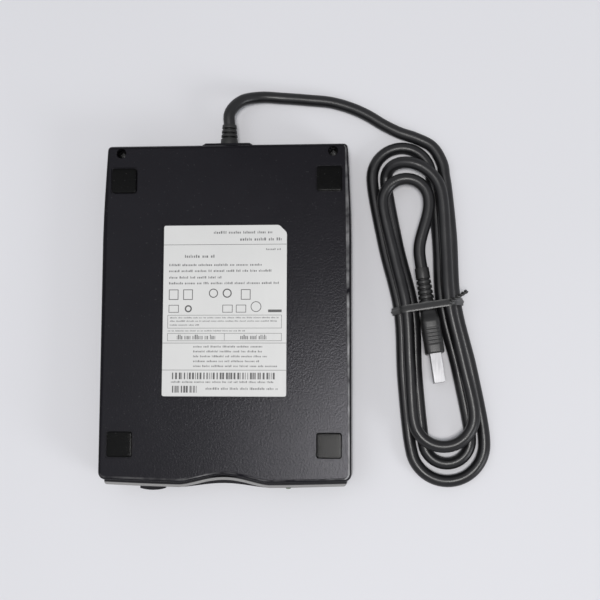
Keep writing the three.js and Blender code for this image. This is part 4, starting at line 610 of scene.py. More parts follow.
# %% Lamp: clear plastic whose green drifts between two depths
lens = Finish("lamp lens", Transmission_Weight=0.35, IOR=1.49)
cloud = lens.noise(500.0, 2.0)
tint = lens.mix(cloud, (0.03, 0.07, 0.02, 1.0), (0.07, 0.16, 0.05, 1.0))
lamp_finish = lens.feed(Base_Color=tint, Roughness=0.12 + cloud * 0.06)
print("finishes so far:", len(bpy.data.materials))

# %% [markdown]
# ## The cord and its boot
#
# The cord is a circle carried along the centreline. Because it never stands upright, the world's up direction
# gives each ring a side that doesn't twist. Its two fittings are turned shapes: a profile of radius and
# height, carried round an axis, with grooves that let the rubber bend.

# %% Cord
RING_SIDES = 16


def tube_points(line, radius, sides=RING_SIDES, up=(0, 0, 1)):
    """Rings round a line: point + radius (cos a * side + sin a * over), with side at right angles to up."""
    along = unit(np.gradient(line, axis=0))
    side = unit(np.cross(along, up))
    over = np.cross(side, along)
    cos, sin = (part[:, None] for part in circle(sides))
    return line[:, None] + radius * (cos * side[:, None] + sin * over[:, None])


def sheathed(name, line, radius):
    """A round cord; in its UV map U is the metres along it and V the share of the way round."""
    piece = loft(name, tube_points(line, radius) * MM, cord_finish, smooth=60)
    length = lengths_along(line) * MM
    corners = np.empty(len(piece.data.loops), np.int32)
    piece.data.loops.foreach_get("vertex_index", corners)
    uv = np.stack([length[corners // RING_SIDES], (corners % RING_SIDES) / RING_SIDES], -1)
    piece.data.uv_layers.new(name="along").data.foreach_set("uv", uv.ravel())
    return piece


cord_piece = sheathed("cord", cord_line, CORD_DIAMETER / 2)
stand_in(cord_piece, "cord", "cord_lead", "cord_hank")

# %% Turned shapes
AXIS = 0.01
CUP_RADIUS, CUP_FLOOR_RADIUS, CUP_DEPTH = 2.6, 2.57, 0.6
ROUNDING, ROUNDING_SHARE, ROUNDING_STEPS = 0.12, 0.45, 4


def soft_steps(corners):
    """Rounds each inner corner of an open profile with a short quadratic bend between points near it."""
    corners = np.asarray(corners, float)
    middle = corners[1:-1]
    reach = []
    for edge in (corners[:-2] - middle, corners[2:] - middle):
        long = np.linalg.norm(edge, axis=1)
        reach.append(edge / long[:, None] * np.minimum(ROUNDING, long * ROUNDING_SHARE)[:, None])
    t = np.linspace(0, 1, ROUNDING_STEPS)[:, None, None]
    bend = (1 - t) ** 2 * (middle + reach[0]) + 2 * t * (1 - t) * middle + t**2 * (middle + reach[1])
    return np.vstack([corners[:1], bend.transpose(1, 0, 2).reshape(-1, 2), corners[-1:]])


def lathe(name, profile, place, material, sides):
    """A profile of (radius, height), softened and turned round the Y axis; place puts it in the model."""
    radius, height = soft_steps(profile).T[:, :, None]
    cos, sin = circle(sides)
    points = np.stack([radius * cos, height + 0 * cos, -radius * sin], -1)
    return loft(name, place(points), material, smooth=40)


def grooved(low_radius, high_radius, length, first, pitch, width, depth, count):
    """A cone's profile with round-bottomed grooves every pitch."""
    radius = lambda z: low_radius + (high_radius - low_radius) * z / length
    profile = [(low_radius, 0)]
    for low in first + pitch * np.arange(count):
        high = low + width
        profile += [
            (radius(low), low),
            (radius(low) - depth, low + width / 4),
            (radius(high) - depth, high - width / 4),
            (radius(high), high),
        ]
    return profile + [(high_radius, length)]


def cup(tip, floor):
    """The hollow in a boot's tip that the cord goes into, closed at the axis."""
    return [(CUP_RADIUS, tip), (CUP_FLOOR_RADIUS, floor), (AXIS, floor)]


# %% Strain relief
PLINTH_Y, WALL, PLINTH_REACH = 72.2, 1.8, 1.2
FLANGE_RADIUS, FLANGE_THICK, COLLAR_RADIUS = 4.6, 1.4, 2.9
RELIEF_LENGTH = 8.7
flange_inner = -WALL - PLINTH_REACH - FIT_GAP - FLANGE_THICK
flange_outer = flange_inner + FLANGE_THICK
cone = grooved(3.8, 3.0, RELIEF_LENGTH, first=2.6, pitch=1.85, width=0.85, depth=1.05, count=3)
relief_profile = [(AXIS, flange_inner), (FLANGE_RADIUS, flange_inner), (FLANGE_RADIUS, flange_outer)]
relief_profile += [(COLLAR_RADIUS, flange_outer), (COLLAR_RADIUS, FIT_GAP)]
relief_profile += [(radius, z + FIT_GAP) for radius, z in cone]
relief_profile += cup(RELIEF_LENGTH + FIT_GAP, RELIEF_LENGTH - CUP_DEPTH)


def on_exit(points):
    """Moves points whose origin is the cord's exit to the model's frame, in metres."""
    return (points + (0, PLINTH_Y, EXIT_Z)) * MM


relief_piece = lathe("strain_relief", relief_profile, on_exit, trim_finish, sides=40)
stand_in(relief_piece, "trim", "cord_strain_relief")

# %% [markdown]
# ## Plug
#
# The plug's grip is a loft: rounded rectangles that widen from a narrow neck to a thumb-wide body, with
# shallow finger ridges on its flanks. Each cross-section is a superellipse, |x/a|^n + |z/b|^n = 1, with n
# near 5, so its corners are soft. The boot behind it is turned, like the relief on the case.

# %% Grip
GRIP_LENGTH, SHOULDER, GRIP_POWER, GRIP_SIDES = 18.0, 5.0, 5.0, 48
GRIP_THICK, NECK_WIDE, NECK_HIGH = 7.8, 6.4, 9.4
END_STEPS, EVEN_STEPS = (0.0, 0.12, 0.35), 50
EDGE_ROUND, EDGE_REACH = 0.45, 0.8
RIDGE_DEPTH, RIDGE_PITCH, RIDGE_START, RIDGE_HALF = 0.22, 1.5, 7.0, 3.75


def section(power, sides, phase=0.0):
    """A superellipse's points round its centre: cos and sin raised to 2 / power, with their signs kept."""
    return [np.sign(part) * np.abs(part) ** (2 / power) for part in circle(sides, phase)]


def grip_points():
    """Sections from the neck to the front; the width eases out over the shoulder, and ridges pinch it."""
    even = np.linspace(EDGE_REACH, GRIP_LENGTH - EDGE_REACH, EVEN_STEPS)
    y = np.concatenate([END_STEPS, even, GRIP_LENGTH - np.array(END_STEPS)[::-1]])
    widen = ease(y / SHOULDER)
    end = np.clip(np.minimum(y, GRIP_LENGTH - y) / EDGE_REACH, 0, 1)
    shrink = EDGE_ROUND * (1 - np.sqrt(1 - (1 - end) ** 2))
    ridged = np.abs(y - RIDGE_START - RIDGE_HALF) < RIDGE_HALF
    ridge = RIDGE_DEPTH * (0.5 - 0.5 * np.cos(2 * np.pi * (y - RIDGE_START) / RIDGE_PITCH)) * ridged
    half_x = NECK_WIDE / 2 + (GRIP_THICK - NECK_WIDE) / 2 * widen - shrink
    half_z = NECK_HIGH / 2 + (PLUG_HEIGHT - NECK_HIGH) / 2 * widen - shrink - ridge
    x, z = section(GRIP_POWER, GRIP_SIDES)
    return np.stack([half_x[:, None] * x, -y[:, None] + 0 * x, half_z[:, None] * z], -1)


def on_plug(points):
    """Places points whose origin is the middle of the plug's neck in the model's frame, in metres."""
    return to_world(np.asarray(points) + (PLUG_X, PLUG_GRIP_Y, PLUG_HEIGHT / 2)) * MM


grip_piece = loft("plug_grip", on_plug(grip_points()), trim_finish, smooth=40)

# %% Boot
BOOT_RADIUS, BOOT_INSET = 3.3, 0.6
boot_profile = [(AXIS, -BOOT_INSET), (BOOT_RADIUS, -BOOT_INSET)]
boot_profile += grooved(BOOT_RADIUS, 2.9, BOOT_LENGTH, first=2.1, pitch=2.1, width=0.9, depth=0.6, count=6)
boot_profile += cup(BOOT_LENGTH, BOOT_LENGTH - CUP_DEPTH)
boot_piece = lathe("plug_boot", boot_profile, on_plug, trim_finish, sides=36)
stand_in(grip_piece, "trim", "usb_plug_grip")
stand_in(boot_piece, "trim")

# %% [markdown]
# The plug's metal shell is a folded box with four windows. The frame's own solid has that shape already, but
# its edges are perfectly sharp, and real edges always catch a line of light. So a copy of the solid's mesh is
# merged, its flat areas are joined, and a small bevel rounds the edges. The same helper dresses the covers.

# %% Dressing a solid of the frame
MERGE_DISTANCE, FLAT_ANGLE = 1e-6, 0.8


def dressed(node, material, bevel, angle=38):
    """A copy of the node's mesh that replaces it: flat areas joined, edges rounded by bevel millimetres."""
    source = frame["nodes"][node]
    mesh = source.data.copy()
    mesh.name = node + "_dressed"
    mesh.materials.clear()
    cell = bmesh.new()
    cell.from_mesh(mesh)
    bmesh.ops.remove_doubles(cell, verts=cell.verts, dist=MERGE_DISTANCE)
    bmesh.ops.dissolve_limit(cell, angle_limit=math.radians(FLAT_ANGLE), verts=cell.verts, edges=cell.edges)
    cell.to_mesh(mesh)
    cell.free()
    piece = finish_piece(node + "_dressed", mesh, body_of(source)[0], material, angle)
    rounding = piece.modifiers.new("edges", "BEVEL")
    rounding.width = bevel * MM
    rounding.segments = 2
    rounding.limit_method = "ANGLE"
    rounding.angle_limit = math.radians(angle)
    rounding.harden_normals = True
    shading = piece.modifiers.new("flat areas lead", "WEIGHTED_NORMAL")
    shading.keep_sharp = True
    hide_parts(node)
    return piece


shell_piece = dressed("usb_plug_shell", shell_finish, 0.1)
tongue_piece = dressed("usb_plug_tongue", white_finish, 0.1)
print("shell:", len(shell_piece.data.polygons), "faces")

# %% [markdown]
# On the tongue lie four gilt strips, the outer two longer. Each is a thin closed block, sunk a little into
# the tongue so that no two faces coincide.

# %% Gilt contacts
CONTACTS = [(-3.5, 7.4), (-1.0, 6.4), (1.0, 6.4), (3.5, 7.4)]
CONTACT_LOW, CONTACT_HIGH = -0.06, 0.02
CONTACT_START, CONTACT_HALF = -24.6, 0.5
BLOCK_CORNERS = [(x, y, z) for z in (0, 1) for y in (0, 1) for x in (0, 1)]
BLOCK_FACES = [(0, 2, 3, 1), (4, 5, 7, 6), (0, 1, 5, 4), (2, 6, 7, 3), (0, 4, 6, 2), (1, 3, 7, 5)]


def strips(name, rows, place, material):
    """Closed blocks, one for each (low corner, high corner), joined in one mesh."""
    low, high = np.array(rows, float).transpose(1, 0, 2)
    points = low[:, None] + (high - low)[:, None] * np.array(BLOCK_CORNERS)
    faces = repeated(BLOCK_FACES, len(rows), len(BLOCK_CORNERS))
    return make_piece(name, place(points), faces, material, smooth=30)


contact_rows = [
    ((CONTACT_LOW, CONTACT_START, z - CONTACT_HALF), (CONTACT_HIGH, CONTACT_START + length, z + CONTACT_HALF))
    for z, length in CONTACTS
]
contacts_piece = strips("plug_contacts", contact_rows, on_plug, gold_finish)
stand_in(contacts_piece, "brass")

# %% [markdown]
# ## Wire tie
#
# A film-covered wire holds the hank at its waist. Its band is the outline that a tight loop makes: the convex
# hull of the strands' circles, moved outwards by a small gap. Two twisted ends stand on top. The band's
# section is a flat strip, thicker in the middle where the wire lies.

# %% Outline of the tie
TIE_WIDTH, TIE_POINTS, TIE_COLUMNS, TIE_LOWEST = 3.0, 120, 9, 0.06
STRANDS, CIRCLE_SIDES = 6, 72


def hull(points):
    """The convex outline of points in a plane, by Andrew's monotone chain, anticlockwise."""
    points = sorted(map(tuple, np.round(points, 4)))
    chains = []
    for run in (points, points[::-1]):
        chain = []
        for point in run:
            while len(chain) > 1:
                before = np.subtract(chain[-1], chain[-2])
                if np.cross(before, np.subtract(point, chain[-1])) > 0:
                    break
                chain.pop()
            chain.append(point)
        chains.append(chain[:-1])
    return np.array(chains[0] + chains[1])


def tie_outline(offset):
    """The hull of the strands' circles with offset added, as evenly spaced points (x, z)."""
    centres = hank_points(np.arange(STRANDS) * (STEPS_PER_TURN / 2))[:, [0, 2]]
    circles = [(x, z, CORD_DIAMETER / 2) for x, z in centres] + [(PLUG_X, PLUG_HEIGHT / 2, BOOT_RADIUS)]
    rim = np.stack(circle(CIRCLE_SIDES), -1)
    loop = hull(np.vstack([(x, z) + (radius + offset) * rim for x, z, radius in circles]))
    loop = np.vstack([loop, loop[:1]])
    return points_at(loop, np.linspace(0, lengths_along(loop)[-1], TIE_POINTS, endpoint=False))


# %% Band of the tie
FILM_LIFT, WIRE_LIFT, WIRE_SHARE, EDGE_DIP, CROWN_SCALE = 0.45, 0.45, 0.3, 0.06, 0.93


def tie_band():
    """A strip's section carried round the hull; its outer face is crowned by the wire that runs inside it.

    The crown is worked out for each place across, from -1 at one edge to 1 at the other.
    """
    across = np.linspace(-1, 1, TIE_COLUMNS)
    crown = FILM_LIFT + WIRE_LIFT * np.exp(-((across / WIRE_SHARE) ** 2)) + EDGE_DIP * np.cos(np.pi * across)
    inner = tie_outline(TIE_GAP)
    outward = np.stack([np.gradient(np.append(part, part[0]))[:-1] for part in inner.T], -1)
    outward = unit(np.stack([outward[:, 1], -outward[:, 0]], -1))
    section_out = np.concatenate([crown, np.zeros(TIE_COLUMNS)]) * CROWN_SCALE
    section_y = np.concatenate([across, across[::-1]]) * (TIE_WIDTH / 2)
    flat = inner[:, None] + outward[:, None] * section_out[None, :, None]
    height = np.maximum(flat[..., 1], TIE_LOWEST)
    points = np.stack([flat[..., 0], np.broadcast_to(section_y, flat.shape[:2]), height], -1)
    faces = looped(TIE_POINTS, 2 * TIE_COLUMNS)
    return make_piece("tie_band", to_world(points) * MM, faces, tie_finish, smooth=50)


tie_finish = moulded("tie film", grey(0.02), 0.35, grain_size=0.0006, grain=0.3)
band_piece = tie_band()
stand_in(band_piece, "trim", "cord_tie")

# %% Twisted ends of the tie
TAIL_LEAN = Vector((0.814, 0.342, 0.470)).normalized()
TAIL_LENGTH, TAIL_PITCH, TAIL_POINTS, TAIL_SIDES = 9.0, 3.0, 80, 12
WIRE_OFFSET, WIRE_RADIUS = 0.42, 0.46


def twisted_tail(top):
    """Two round wires wound round each other: each is off the axis at angle 2 pi s / TAIL_PITCH."""
    s = np.linspace(0, TAIL_LENGTH, TAIL_POINTS)[:, None]
    side = TAIL_LEAN.cross((0, 1, 0))
    across, over = np.array(side.normalized()), np.array(TAIL_LEAN.cross(side).normalized())
    points = []
    for start in (0, np.pi):
        angle = 2 * np.pi * s / TAIL_PITCH + start
        line = top + s * np.array(TAIL_LEAN) + WIRE_OFFSET * (np.cos(angle) * across + np.sin(angle) * over)
        points.append(tube_points(line, WIRE_RADIUS, TAIL_SIDES, up=(0, 1, 0)))
    faces = repeated(capped(TAIL_POINTS, TAIL_SIDES), 2, TAIL_POINTS * TAIL_SIDES)
    return make_piece("tie_ends", to_world(np.vstack(points)) * MM, faces, tie_finish, smooth=60)


outer_loop = tie_outline(TIE_GAP + TIE_THICK / 2)
tie_top = outer_loop[np.argmax(outer_loop[:, 1])]
tails_piece = twisted_tail(np.array((tie_top[0], 0.0, tie_top[1])))
stand_in(tails_piece, "trim")

# %% [markdown]
# ## Feet
#
# Four square rubber feet stand in shallow recesses. A moulded foot has a crowned top, a small round at its
# rim and upright sides: a superellipse whose half width follows a short profile of the height.

# %% Feet
FOOT_FLOOR, FOOT_POWER, FOOT_SIDES = 17.2, 11.0, 64
FOOT_RISE = np.array([0, 0.35, 0.7, 0.90, 1.00, 1.07, 1.12, 1.155, 1.18, 1.192, 1.20, 1.20])
FOOT_HALF = np.array([5.2, 5.2, 5.2, 5.19, 5.17, 5.13, 5.07, 4.98, 4.75, 3.9, 2.0, 0.05])
FOOT_X, FOOT_FRONT, FOOT_REAR = 43.0, -53.5, 56.0


def foot(name, x, y):
    """Rounded squares stacked by half width and height; the last ones close the crowned top."""
    square_x, square_y = section(FOOT_POWER, FOOT_SIDES, phase=np.pi / FOOT_SIDES)
    half, height = FOOT_HALF[:, None], FOOT_FLOOR + FOOT_RISE[:, None]
    points = np.stack([x + half * square_x, y + half * square_y, height + 0 * square_x], -1)
    stand_in(loft(name + "_pad", points * MM, rubber_finish, smooth=30), "rubber", name)


for end, y in (("front", FOOT_FRONT), ("rear", FOOT_REAR)):
    for side, x in (("left", -FOOT_X), ("right", FOOT_X)):
        foot(f"foot_{end}_{side}", x, y)

# %% [markdown]
# ## Label
#
# The label is a satin polyester film with one clipped corner. It carries plain marks only: thin rules, empty
# boxes, rings, rows of grey strokes and bands of dark stripes. Each mark is a very thin closed block that
# rests on the film, so it keeps its sharp edge from any distance.

# %% Label
LABEL_LEFT, LABEL_RIGHT, LABEL_FRONT, LABEL_REAR = -25.8, 25.5, -33.8, 36.9
LABEL_CLIP, LABEL_LOW, LABEL_TOP, LABEL_ROUND = 3.2, 17.35, 17.5, 0.9
CORNER_STEPS, EDGE_DROP, EDGE_INSET = 6, 0.04, 0.05
FILM_PALE, FILM_DULL = grey(0.585, (1.0, 0.995, 0.975)), grey(0.55, (1.0, 0.995, 0.98))


def label_film(name):
    """Satin film: nearly white, with faint blotches of the adhesive under it and fine scuffs in the gloss."""
    finish = Finish(name)
    blotch = finish.noise(45.0, 3.0)
    scuff = finish.noise(1.0, 4.0, finish.stretched((900.0, 60.0, 900.0)))
    fibre = finish.noise(3500.0, 2.0)
    base = finish.mix(blotch.above(0.3, 0.5), FILM_PALE, FILM_DULL)
    bump = finish.bump(fibre + blotch, 0.2, 0.00004)
    return finish.feed(Base_Color=base, Roughness=0.46 + (scuff - 0.5) * 0.16, Normal=bump)


def inked(name, colour):
    """Ink: its colour thins a little where the roller carried less."""
    finish = Finish(name)
    cover = finish.noise(2200.0, 2.0)
    base = finish.mix(cover.above(0.45, 0.3), colour, shade(colour, 1.6, 0.02))
    return finish.feed(Base_Color=base, Roughness=0.4 + cover * 0.15)


film_white = label_film("label film")
ink_finish = inked("dark ink", grey(0.035))
soft_ink_finish = inked("grey ink", grey(0.10))


def label_sheet():
    """The film's outline with rounded corners, drawn in by EDGE_INSET for its top face.

    A corner is a quadratic bend: corner + (1 - t)^2 back + t^2 on, with both arms LABEL_ROUND long.
    """
    left, right, front, rear = LABEL_LEFT, LABEL_RIGHT, LABEL_FRONT, LABEL_REAR
    clipped = [(right, rear - LABEL_CLIP), (right - LABEL_CLIP, rear)]
    corners = np.array([(left, front), (right, front), *clipped, (left, rear)])
    back, on = (LABEL_ROUND * unit(np.roll(corners, shift, axis=0) - corners) for shift in (1, -1))
    t = np.linspace(0, 1, CORNER_STEPS)[:, None, None]
    outline = (corners + (1 - t) ** 2 * back + t**2 * on).transpose(1, 0, 2).reshape(-1, 2)
    outwards = np.sign(outline - corners.mean(axis=0))
    rows = []
    for height, inset in ((LABEL_LOW, 0), (LABEL_TOP - EDGE_DROP, 0), (LABEL_TOP, EDGE_INSET)):
        rows.append(np.hstack([outline - outwards * inset, np.full((len(outline), 1), height)]))
    return loft("label_sheet", np.array(rows) * MM, film_white, smooth=20)


stand_in(label_sheet(), "label", "rating_label")

# %% Plain marks
MARK_LOW, MARK_HIGH = LABEL_TOP - 0.01, LABEL_TOP + 0.015
STROKE_THIN, STROKE_VARIES, STROKE_GAP, GROUP_GAP = 0.16, 0.26, 0.2, 0.5
SHORT_STROKE, SHORT_CHANCE = 0.74, 0.7


def on_label(points):
    return points * MM


def bar(left, right, low, high):
    """One block, sunk a little into the film so that no two faces coincide."""
    return ((left, low, MARK_LOW), (right, high, MARK_HIGH))


def frame_bars(left, right, low, high, line=0.16):
    """The four sides of a box."""
    level = [bar(left, right, y, y + line) for y in (low, high - line)]
    return level + [bar(x, x + line, low + line, high - line) for x in (left, right - line)]


def word_marks(left, right, middle, height, seed, ink_share=0.72):
    """A row of upright strokes in groups; widths and gaps are shares of its height.

    The seed picks how many strokes a group has, and each stroke's width and height.
    """
    pick = np.random.default_rng(seed)
    rows, x = [], left
    low = middle - height * ink_share / 2
    while x < right - height:
        for _ in range(pick.integers(3, 10)):
            width = height * (STROKE_THIN + STROKE_VARIES * pick.random())
            high = low + height * ink_share * (SHORT_STROKE if pick.random() < SHORT_CHANCE else 1.0)
            if x + width < right:
                rows.append(bar(x, x + width, low, high))
            x += width + height * STROKE_GAP
        x += height * GROUP_GAP
    return rows


def stripes(left, right, low, high, seed, step=0.26):
    """Upright stripes one to three steps wide, with gaps as uneven."""
    pick = np.random.default_rng(seed)
    rows, x = [], left
    while x < right - 3 * step:
        width = step * pick.integers(1, 4)
        rows.append(bar(x, x + width, low, high))
        x += width + step * pick.integers(1, 4)
    return rows


# %% Rules, boxes, strokes and stripes
fine_lines = [bar(LABEL_LEFT + 0.05, LABEL_RIGHT - 0.05, y - 0.09, y + 0.09) for y in (28.84, -11.97, -23.05)]
fine_lines += frame_bars(-23.8, 23.5, -5.9, -0.4)
fine_lines += frame_bars(-23.8, 23.5, -11.1, -7.9)
fine_lines += [bar(-0.18, -0.02, -10.9, -8.1)]
for x in (-23.4, -17.4, 6.6):
    fine_lines += frame_bars(x, x + 4.0, 5.9, 10.2, 0.3)
for x in (-23.4, -1.0, 4.6):
    fine_lines += frame_bars(x, x + 4.2, 0.6, 3.8, 0.25)

STROKE_ROWS = [  # left, right, middle, height
    (-4.9, 19.6, 33.9, 1.5), (6.1, 23.4, 31.0, 1.7), (16.9, 23.2, 26.8, 1.1), (-16.9, -4.0, 24.0, 1.7),
    (-23.4, 17.3, 20.4, 1.3), (-23.4, 19.6, 17.9, 1.3), (-23.4, 0.5, 15.2, 1.3), (-23.4, 22.7, 12.8, 1.3),
    (-22.8, 22.4, -1.5, 0.8), (-22.8, 22.4, -2.9, 0.8), (-22.8, -10.0, -4.5, 0.8), (-23.6, 8.9, -6.9, 0.8),
    (-12.9, 17.0, -13.4, 1.1), (-12.9, 15.4, -15.4, 1.1), (-12.9, 18.5, -17.4, 1.1),
    (-12.9, 14.8, -19.4, 1.1), (-12.9, 23.4, -21.4, 1.1), (-22.0, 21.5, -27.9, 1.1), (-7.6, 22.6, -30.6, 1.3),
]
word_rows = [mark for seed, row in enumerate(STROKE_ROWS) for mark in word_marks(*row, seed)]
word_rows += word_marks(-19.8, -2.0, -9.5, 1.2, 60, 1.6) + word_marks(6.5, 17.6, -9.5, 1.2, 61, 1.6)

dark_marks = stripes(-21.6, 22.15, -26.8, -24.1, 41) + stripes(-21.5, -9.9, -32.3, -29.5, 43)
dark_marks += [bar(17.9, 23.5, 0.7, 1.8)]

stand_in(strips("label_rules", fine_lines, on_label, ink_finish), "label")
stand_in(strips("label_word_marks", word_rows, on_label, soft_ink_finish), "label")
stand_in(strips("label_stripes", dark_marks, on_label, ink_finish), "label")

# %% Plain rings on the label
RING_PLACES = [(-4.8, 8.6, 1.9, 0.4), (0.9, 8.6, 1.9, 0.5), (12.9, 3.0, 2.2, 0.3), (-15.2, 2.2, 1.5, 0.6)]


def rings(name, places, material, sides=40):
    """Flat washers, one for each (x, y, outer radius, width): a square section carried round a circle."""
    cos, sin = (part[:, None] for part in circle(sides))
    height = np.array([MARK_LOW, MARK_LOW, MARK_HIGH, MARK_HIGH]) + 0 * cos
    points = []
    for x, y, outer, width in places:
        radius = np.array([outer - width, outer, outer, outer - width])
        points.append(np.stack([x + radius * cos, y + radius * sin, height], -1))
    faces = repeated(looped(sides, 4), len(places), sides * 4)
    return make_piece(name, np.array(points) * MM, faces, material, smooth=30)


stand_in(rings("label_rings", RING_PLACES, ink_finish), "label")

# %% [markdown]
# ## Covers, bezel and small outer parts
#
# The covers and the bezel come from the frame, which has their true shape: the seam step, the recesses and
# the screw wells. Each is copied, its flat areas joined, and its edges rounded a little, as by a mould.

# %% Outer mouldings
OUTER = [
    ("bottom_cover", case_finish, 0.25),
    ("top_cover", case_finish, 0.2),
    ("front_bezel", bezel_finish, 0.15),
    ("eject_button", bezel_finish, 0.2),
    ("slot_flap", trim_finish, 0.1),
    ("led_lens", lamp_finish, 0.1),
]
for row in OUTER:
    piece = dressed(*row)
    print(piece.name, len(piece.data.polygons), "faces")

# %% Inner mouldings and metal parts that are carried over, dressed the same way
SMALL_BEVEL = 0.08
INNER = [
    (black_screw_finish, "case_screw_left case_screw_right"),
    (steel_finish, "drive_chassis chassis_cover disk_holder"),
    (dark_steel_finish, "slide_plate latch_lever"),
    (steel_finish, "spindle_rotor"),
    (brass_finish, "drive_pin spindle_bearing"),
    (moulding_finish, "head_carriage"),
    (steel_finish, "upper_head_arm head_arm_spring guide_rod stepper_motor"),
    (moulding_finish, "switch_block"),
    (white_finish, "switch_plunger_left switch_plunger_right cord_connector"),
    (chip_finish, "usb_chip driver_chip"),
]
inner_pieces = [dressed(node, material, SMALL_BEVEL) for material, nodes in INNER for node in nodes.split()]

# The heads' pads are polished, so their shallow edges are rounded too.
HEAD_BEVEL, POLISHED_ANGLE = 0.22, 25
for node in ("lower_head", "upper_head"):
    inner_pieces.append(dressed(node, ceramic_finish, HEAD_BEVEL, POLISHED_ANGLE))
print("dressed inside:", len(inner_pieces))

# %% [markdown]
# Two soft parts lie inside. The cord's tail bends from the strain relief up to its socket on the board, and a
# flat cable arches between the two boards. Both are surfaces carried along a line, as the cord outside is.

# %% The cord's tail and the flat cable
TAIL_ROUTE = [
    (0, 67.2, 9.15), (0, 65.7, 9.15), (-1.4, 62.4, 9.4), (-4.6, 59.9, 10.7),
    (-8.8, 58, 12.7), (-13.4, 56.2, 13.9), (-16.5, 54.5, 14.15), (-19.2, 54.5, 14.15),
]
TAIL_RADIUS = 1.5
CABLE_FOOT, CABLE_THICK, CABLE_STEPS = 4.0, 0.2, 65


def arched_cable():
    """A thin strip whose height is rise sin(pi share)^2 between its two flat feet."""
    low, high = (np.array(corner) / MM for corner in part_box("flat_cable"))
    y = np.linspace(low[1], high[1], CABLE_STEPS)[:, None]
    share = np.clip((y - low[1] - CABLE_FOOT) / (high[1] - low[1] - 2 * CABLE_FOOT), 0, 1)
    z = low[2] + (high[2] - low[2] - CABLE_THICK) * np.sin(np.pi * share) ** 2
    x = np.array([low[0], high[0], high[0], low[0]])
    lift = np.array([0, 0, CABLE_THICK, CABLE_THICK])
    points = np.stack([x + 0 * y, y + 0 * x, z + lift], -1)
    return loft("arched_cable", points * MM, film_finish, smooth=40)


tail_line, _ = flowing(np.array(TAIL_ROUTE, float), spacing=0.6)
stand_in(sheathed("inner_tail", tail_line, TAIL_RADIUS), "cord", "cord_tail")
stand_in(arched_cable(), "film", "flat_cable")

# %% Parts that keep the frame's own mesh and take a finish
KEPT = [
    (steel_finish, "lead_screw eject_spring_left eject_spring_right flap_spring"),
    (board_finish, "motor_board interface_board"),
    (copper_finish, "spindle_stator"),
]
for material, nodes in KEPT:
    for node in nodes.split():
        kept = frame["nodes"][node].data.materials
        kept.clear()
        kept.append(material)
    print(material.name, "on", nodes)

# %% [markdown]
# ## Floor and light
#
# The photograph was lit by large soft lamps over a pale sheet. One broad lamp above and a little towards the
# front gives the sheen on the right of the case, and a cooler one at the left fills the shadows.

# %% Floor
PALE = (0.70, 0.70, 0.73, 1.0)
SHEET_DIM, SHEET_BRIGHT = grey(0.66, (1.0, 0.995, 1.03)), grey(0.69, (1.0, 0.995, 1.03))
FADE_START, FADE_WIDTH = 0.35, 0.9
FLOOR_HALF, FLOOR_Z = 2.5, -0.0001


def sheet_finish():
    """A pale matt floor with a slow drift, which fades far from the drive into the pale of the room."""
    finish = Finish("pale sheet")
    drift = finish.noise(3.0, 2.0)
    base = finish.mix(drift.above(0.3, 0.4), SHEET_DIM, SHEET_BRIGHT)
    material = finish.feed(Base_Color=base, Roughness=0.85 + drift * 0.1)
    x, y, _ = finish.split(finish.place())
    far = ((x * x + y * y) ** 0.5).above(FADE_START, FADE_WIDTH)
    seen = finish.node("ShaderNodeLightPath", {})[CAMERA_OUTPUT]
    pale = finish.node("ShaderNodeEmission", {"Color": PALE})[0]
    sheet = Wire(finish, finish.shader.outputs[0])
    faded = finish.node("ShaderNodeMixShader", {0: far * seen, 1: sheet, 2: pale})[0]
    finish.tree.links.new(faded.socket, finish.tree.nodes["Material Output"].inputs["Surface"])
    return material


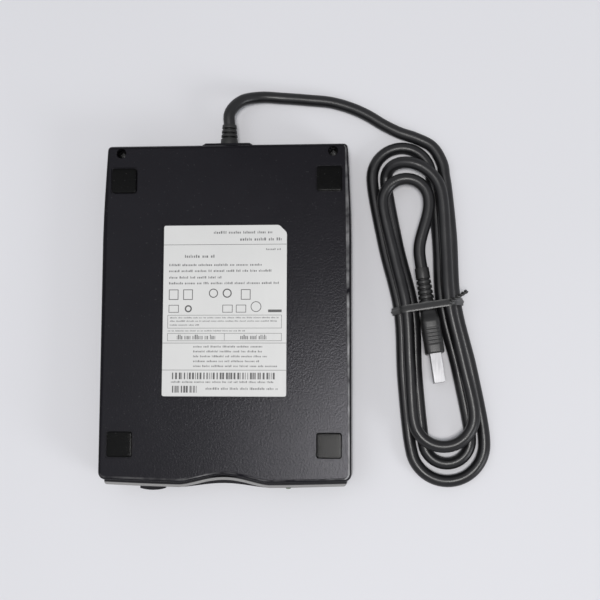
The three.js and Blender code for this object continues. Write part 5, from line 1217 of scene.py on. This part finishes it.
floor_mesh = bpy.data.meshes.new("floor")
floor_corners = [(x * FLOOR_HALF, y * FLOOR_HALF, FLOOR_Z) for x, y in ((-1, -1), (1, -1), (1, 1), (-1, 1))]
floor_mesh.from_pydata(floor_corners, [], [(0, 1, 2, 3)])
floor_mesh.materials.append(sheet_finish())
floor = bpy.data.objects.new("floor", floor_mesh)
scene.collection.objects.link(floor)
print("floor:", 2 * FLOOR_HALF, "m wide")

# %% Lamps
AIM = (0.03, 0, 0)
WARM_WHITE, COOL_WHITE = (1.0, 0.985, 0.97), (0.95, 0.975, 1.0)


def lamp(name, place, size, watts, colour):
    """A square area lamp at place that faces the object."""
    data = bpy.data.lights.new(name, "AREA")
    data.size = size
    data.energy = watts
    data.color = colour
    body = bpy.data.objects.new(name, data)
    body.location = place
    body.rotation_euler = (Vector(AIM) - Vector(place)).to_track_quat("-Z", "Y").to_euler()
    scene.collection.objects.link(body)


lamp("key", (0.100, -0.140, 1.35), 0.28, 11.0, WARM_WHITE)
lamp("fill", (-0.55, 0.05, 1.25), 0.8, 2.2, COOL_WHITE)
lamp("side", (1.2, -0.7, 0.6), 0.5, 6.0, COOL_WHITE)
print("lamps:", len(bpy.data.lights))

# %% Room
ROOM_LIGHT, ROOM_STRENGTH = (0.90, 0.94, 1.0, 1.0), 0.35


def soft_room():
    """A dim even world for light, and a pale one where the camera, a gloss or a clear piece looks at it."""
    world = bpy.data.worlds.new("soft room")
    world.use_nodes = True
    nodes, links = world.node_tree.nodes, world.node_tree.links
    light = nodes["Background"]
    light.inputs["Color"].default_value = ROOM_LIGHT
    light.inputs["Strength"].default_value = ROOM_STRENGTH
    pale = nodes.new("ShaderNodeBackground")
    pale.inputs["Color"].default_value = PALE
    rays = nodes.new("ShaderNodeLightPath").outputs
    seen = rays["Is Camera Ray"]
    for ray in ("Is Glossy Ray", "Is Transmission Ray"):
        either = nodes.new("ShaderNodeMath")
        either.operation = "MAXIMUM"
        links.new(seen, either.inputs[0])
        links.new(rays[ray], either.inputs[1])
        seen = either.outputs[0]
    mix = nodes.new("ShaderNodeMixShader")
    for socket, output in zip(mix.inputs, (seen, light.outputs[0], pale.outputs[0])):
        links.new(output, socket)
    links.new(mix.outputs[0], nodes["World Output"].inputs["Surface"])
    return world


scene.world = soft_room()
print("world:", scene.world.name)
